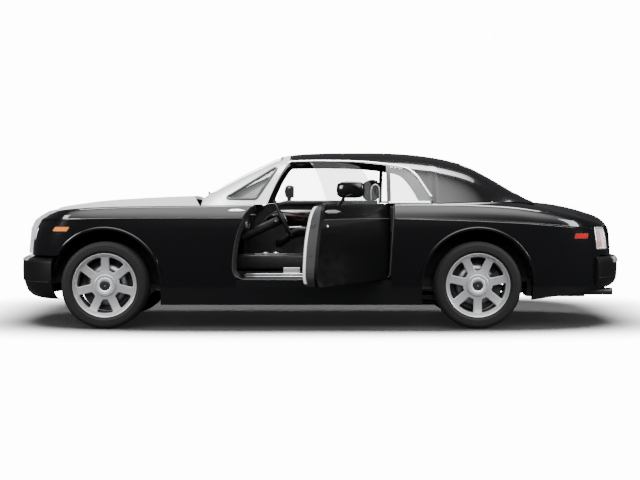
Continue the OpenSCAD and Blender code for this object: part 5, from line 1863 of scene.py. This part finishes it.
def door_end():
    """Latch, pale edge strip with a painted glow, and stepped plates on the front end of the closed left
    door.
    """
    build = Build()
    near, far = DOOR_WALL + 3, DOOR_WALL - 20
    rows = []
    for z in np.linspace(470, 1096, 50):
        a, b = door_end_x(z) - 2.5, door_end_x(z) + 6
        rows.append([[a, near, z], [a, far, z], [b, far, z], [b, near, z]])
    # The edge strip is pale trim in the glowing white; its glow is painted light.
    build.add(*loft(rows), 0)
    build.add(*softbox((9, 40, 96), (door_end_x(905) + 11, -904, 905), 4), 1)
    build.add(*softbox((12, 28, 34), (door_end_x(905) + 12, -904, 912), 5), 2)
    for z in (700, 560):
        build.add(*softbox((7, 50, 10), (door_end_x(z) + 1, -905, z), 3), 1)
    return build


def door_insides():
    door_pair(inner_door(), "door_lining_%s", [HIDE, WOOD, CHROME, TRIM], slot="cabin")
    door_pair(door_end(), "door_end_%s", [GLOW_WHITE, CAST, SEAL])


def sills():
    """Sill covers, bright tread strips and the seal round each doorway."""
    build = Build()
    build.add(*softbox((1270, 46, 46), (-45, -825, 460), 6), 0)
    for y, z in ((-838, 485), (-848, 462)):
        build.add(*tube([(x, y, z) for x in np.linspace(-660, 560, 12)], 4.5, 10), 1)
    build.add(*softbox((150, 6, 56), (-255, -790, 512), 2.5), 1)
    both_sides(build).piece("sill_covers", [TRIM, CHROME], "body")
    front, rear = door_front(2, 470, 1096)[::-1], door_rear(2, 470, 1096)
    low = [[v, 441] for v in np.linspace(front[-1, 0] + 60, rear[0, 0] - 60, 30)]
    line = spread_line(np.vstack([front, low, rear]), 150)
    path = side_point(side_loop(line), 60)
    path[:, 1] = np.minimum(path[:, 1], -880)
    build = Build()
    build.add(*tube(path, 4, 10))
    both_sides(build).piece("doorway_seals", DOOR_SEAL, "body")
    build = Build()
    for edge in (door_front, door_rear):
        near, far = edge(34, 446, 1092), edge(-30, 446, 1092)
        rows = [[[a[0], -846, a[1]], [b[0], -846, b[1]], [b[0], -840, b[1]], [a[0], -840, a[1]]]
                for a, b in zip(near, far)]
        build.add(*loft(rows))
    both_sides(build).piece("door_jamb_flanges", TRIM, "body")


DOOR_SEAL = material("door_seal", (0.11, 0.11, 0.112), 0.5, scale=150, vary=0.2, bump=0.2)


def cabin_bits():
    build = Build()
    build.add(*softbox((26, 210, 62), (-430, 0, 1405), 14), 0)
    build.add(*softbox((4, 192, 48), (-416, 0, 1405), 2), 1)
    build.add(*tube([(-438, 0, 1415), (-446, 0, 1440), (-452, 0, 1466)], 8), 0)
    build.piece("rear_view_mirror", [TRIM, MIRROR], "body")
    build = Build()
    for y0, y1 in ((-500, 0), (60, 560)):
        q = np.linspace(y0, y1, 24)
        uv = plan_loop(np.column_stack([-1044 + 60 * (q / 700) ** 2, q]))
        p = dome_point(uv, -12)
        build.add(*tube(p, 6, 10))
        build.add(*tube(spread_line([p[0] + [-10, 0, -2], p[0] + [-4, 20, 6], p[8]], 12), 8, 10))
    build.piece("wipers", SEAL, "body")
    build = Build()
    rows = []
    for x in np.linspace(1610, 2480, 16):
        top = np.interp(x, [1990, 2060, 2300, 2480], [984, 992, 945, 895])
        rows.append([[x, y, z] for y, z in ((-522, 505), (-522, top), (-512, top), (-512, 505))])
    build.add(*loft(rows))
    both_sides(build).piece("boot_lining", CARPET, "body", slot="cabin")


seats()
dashboard()
steering()
door_insides()
sills()
cabin_bits()


# Finish of the construction's own pieces that stay in view
NODE_FINISH = {
    "floor": CARPET, "frame_rails": UNDER, "grille": GRILLE, "radiator": CORE, "cowl": TRIM,
    "engine": BLOCK, "exhaust": PIPE, "front_subframe": CAST, "rear_subframe": CAST, "wheel_liners": LINER,
    "door_hinges": CAST, "knuckle_left": CAST, "knuckle_right": CAST,
}
for node, finish in NODE_FINISH.items():
    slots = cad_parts[node].data.materials
    slots.clear()
    slots.append(finish)
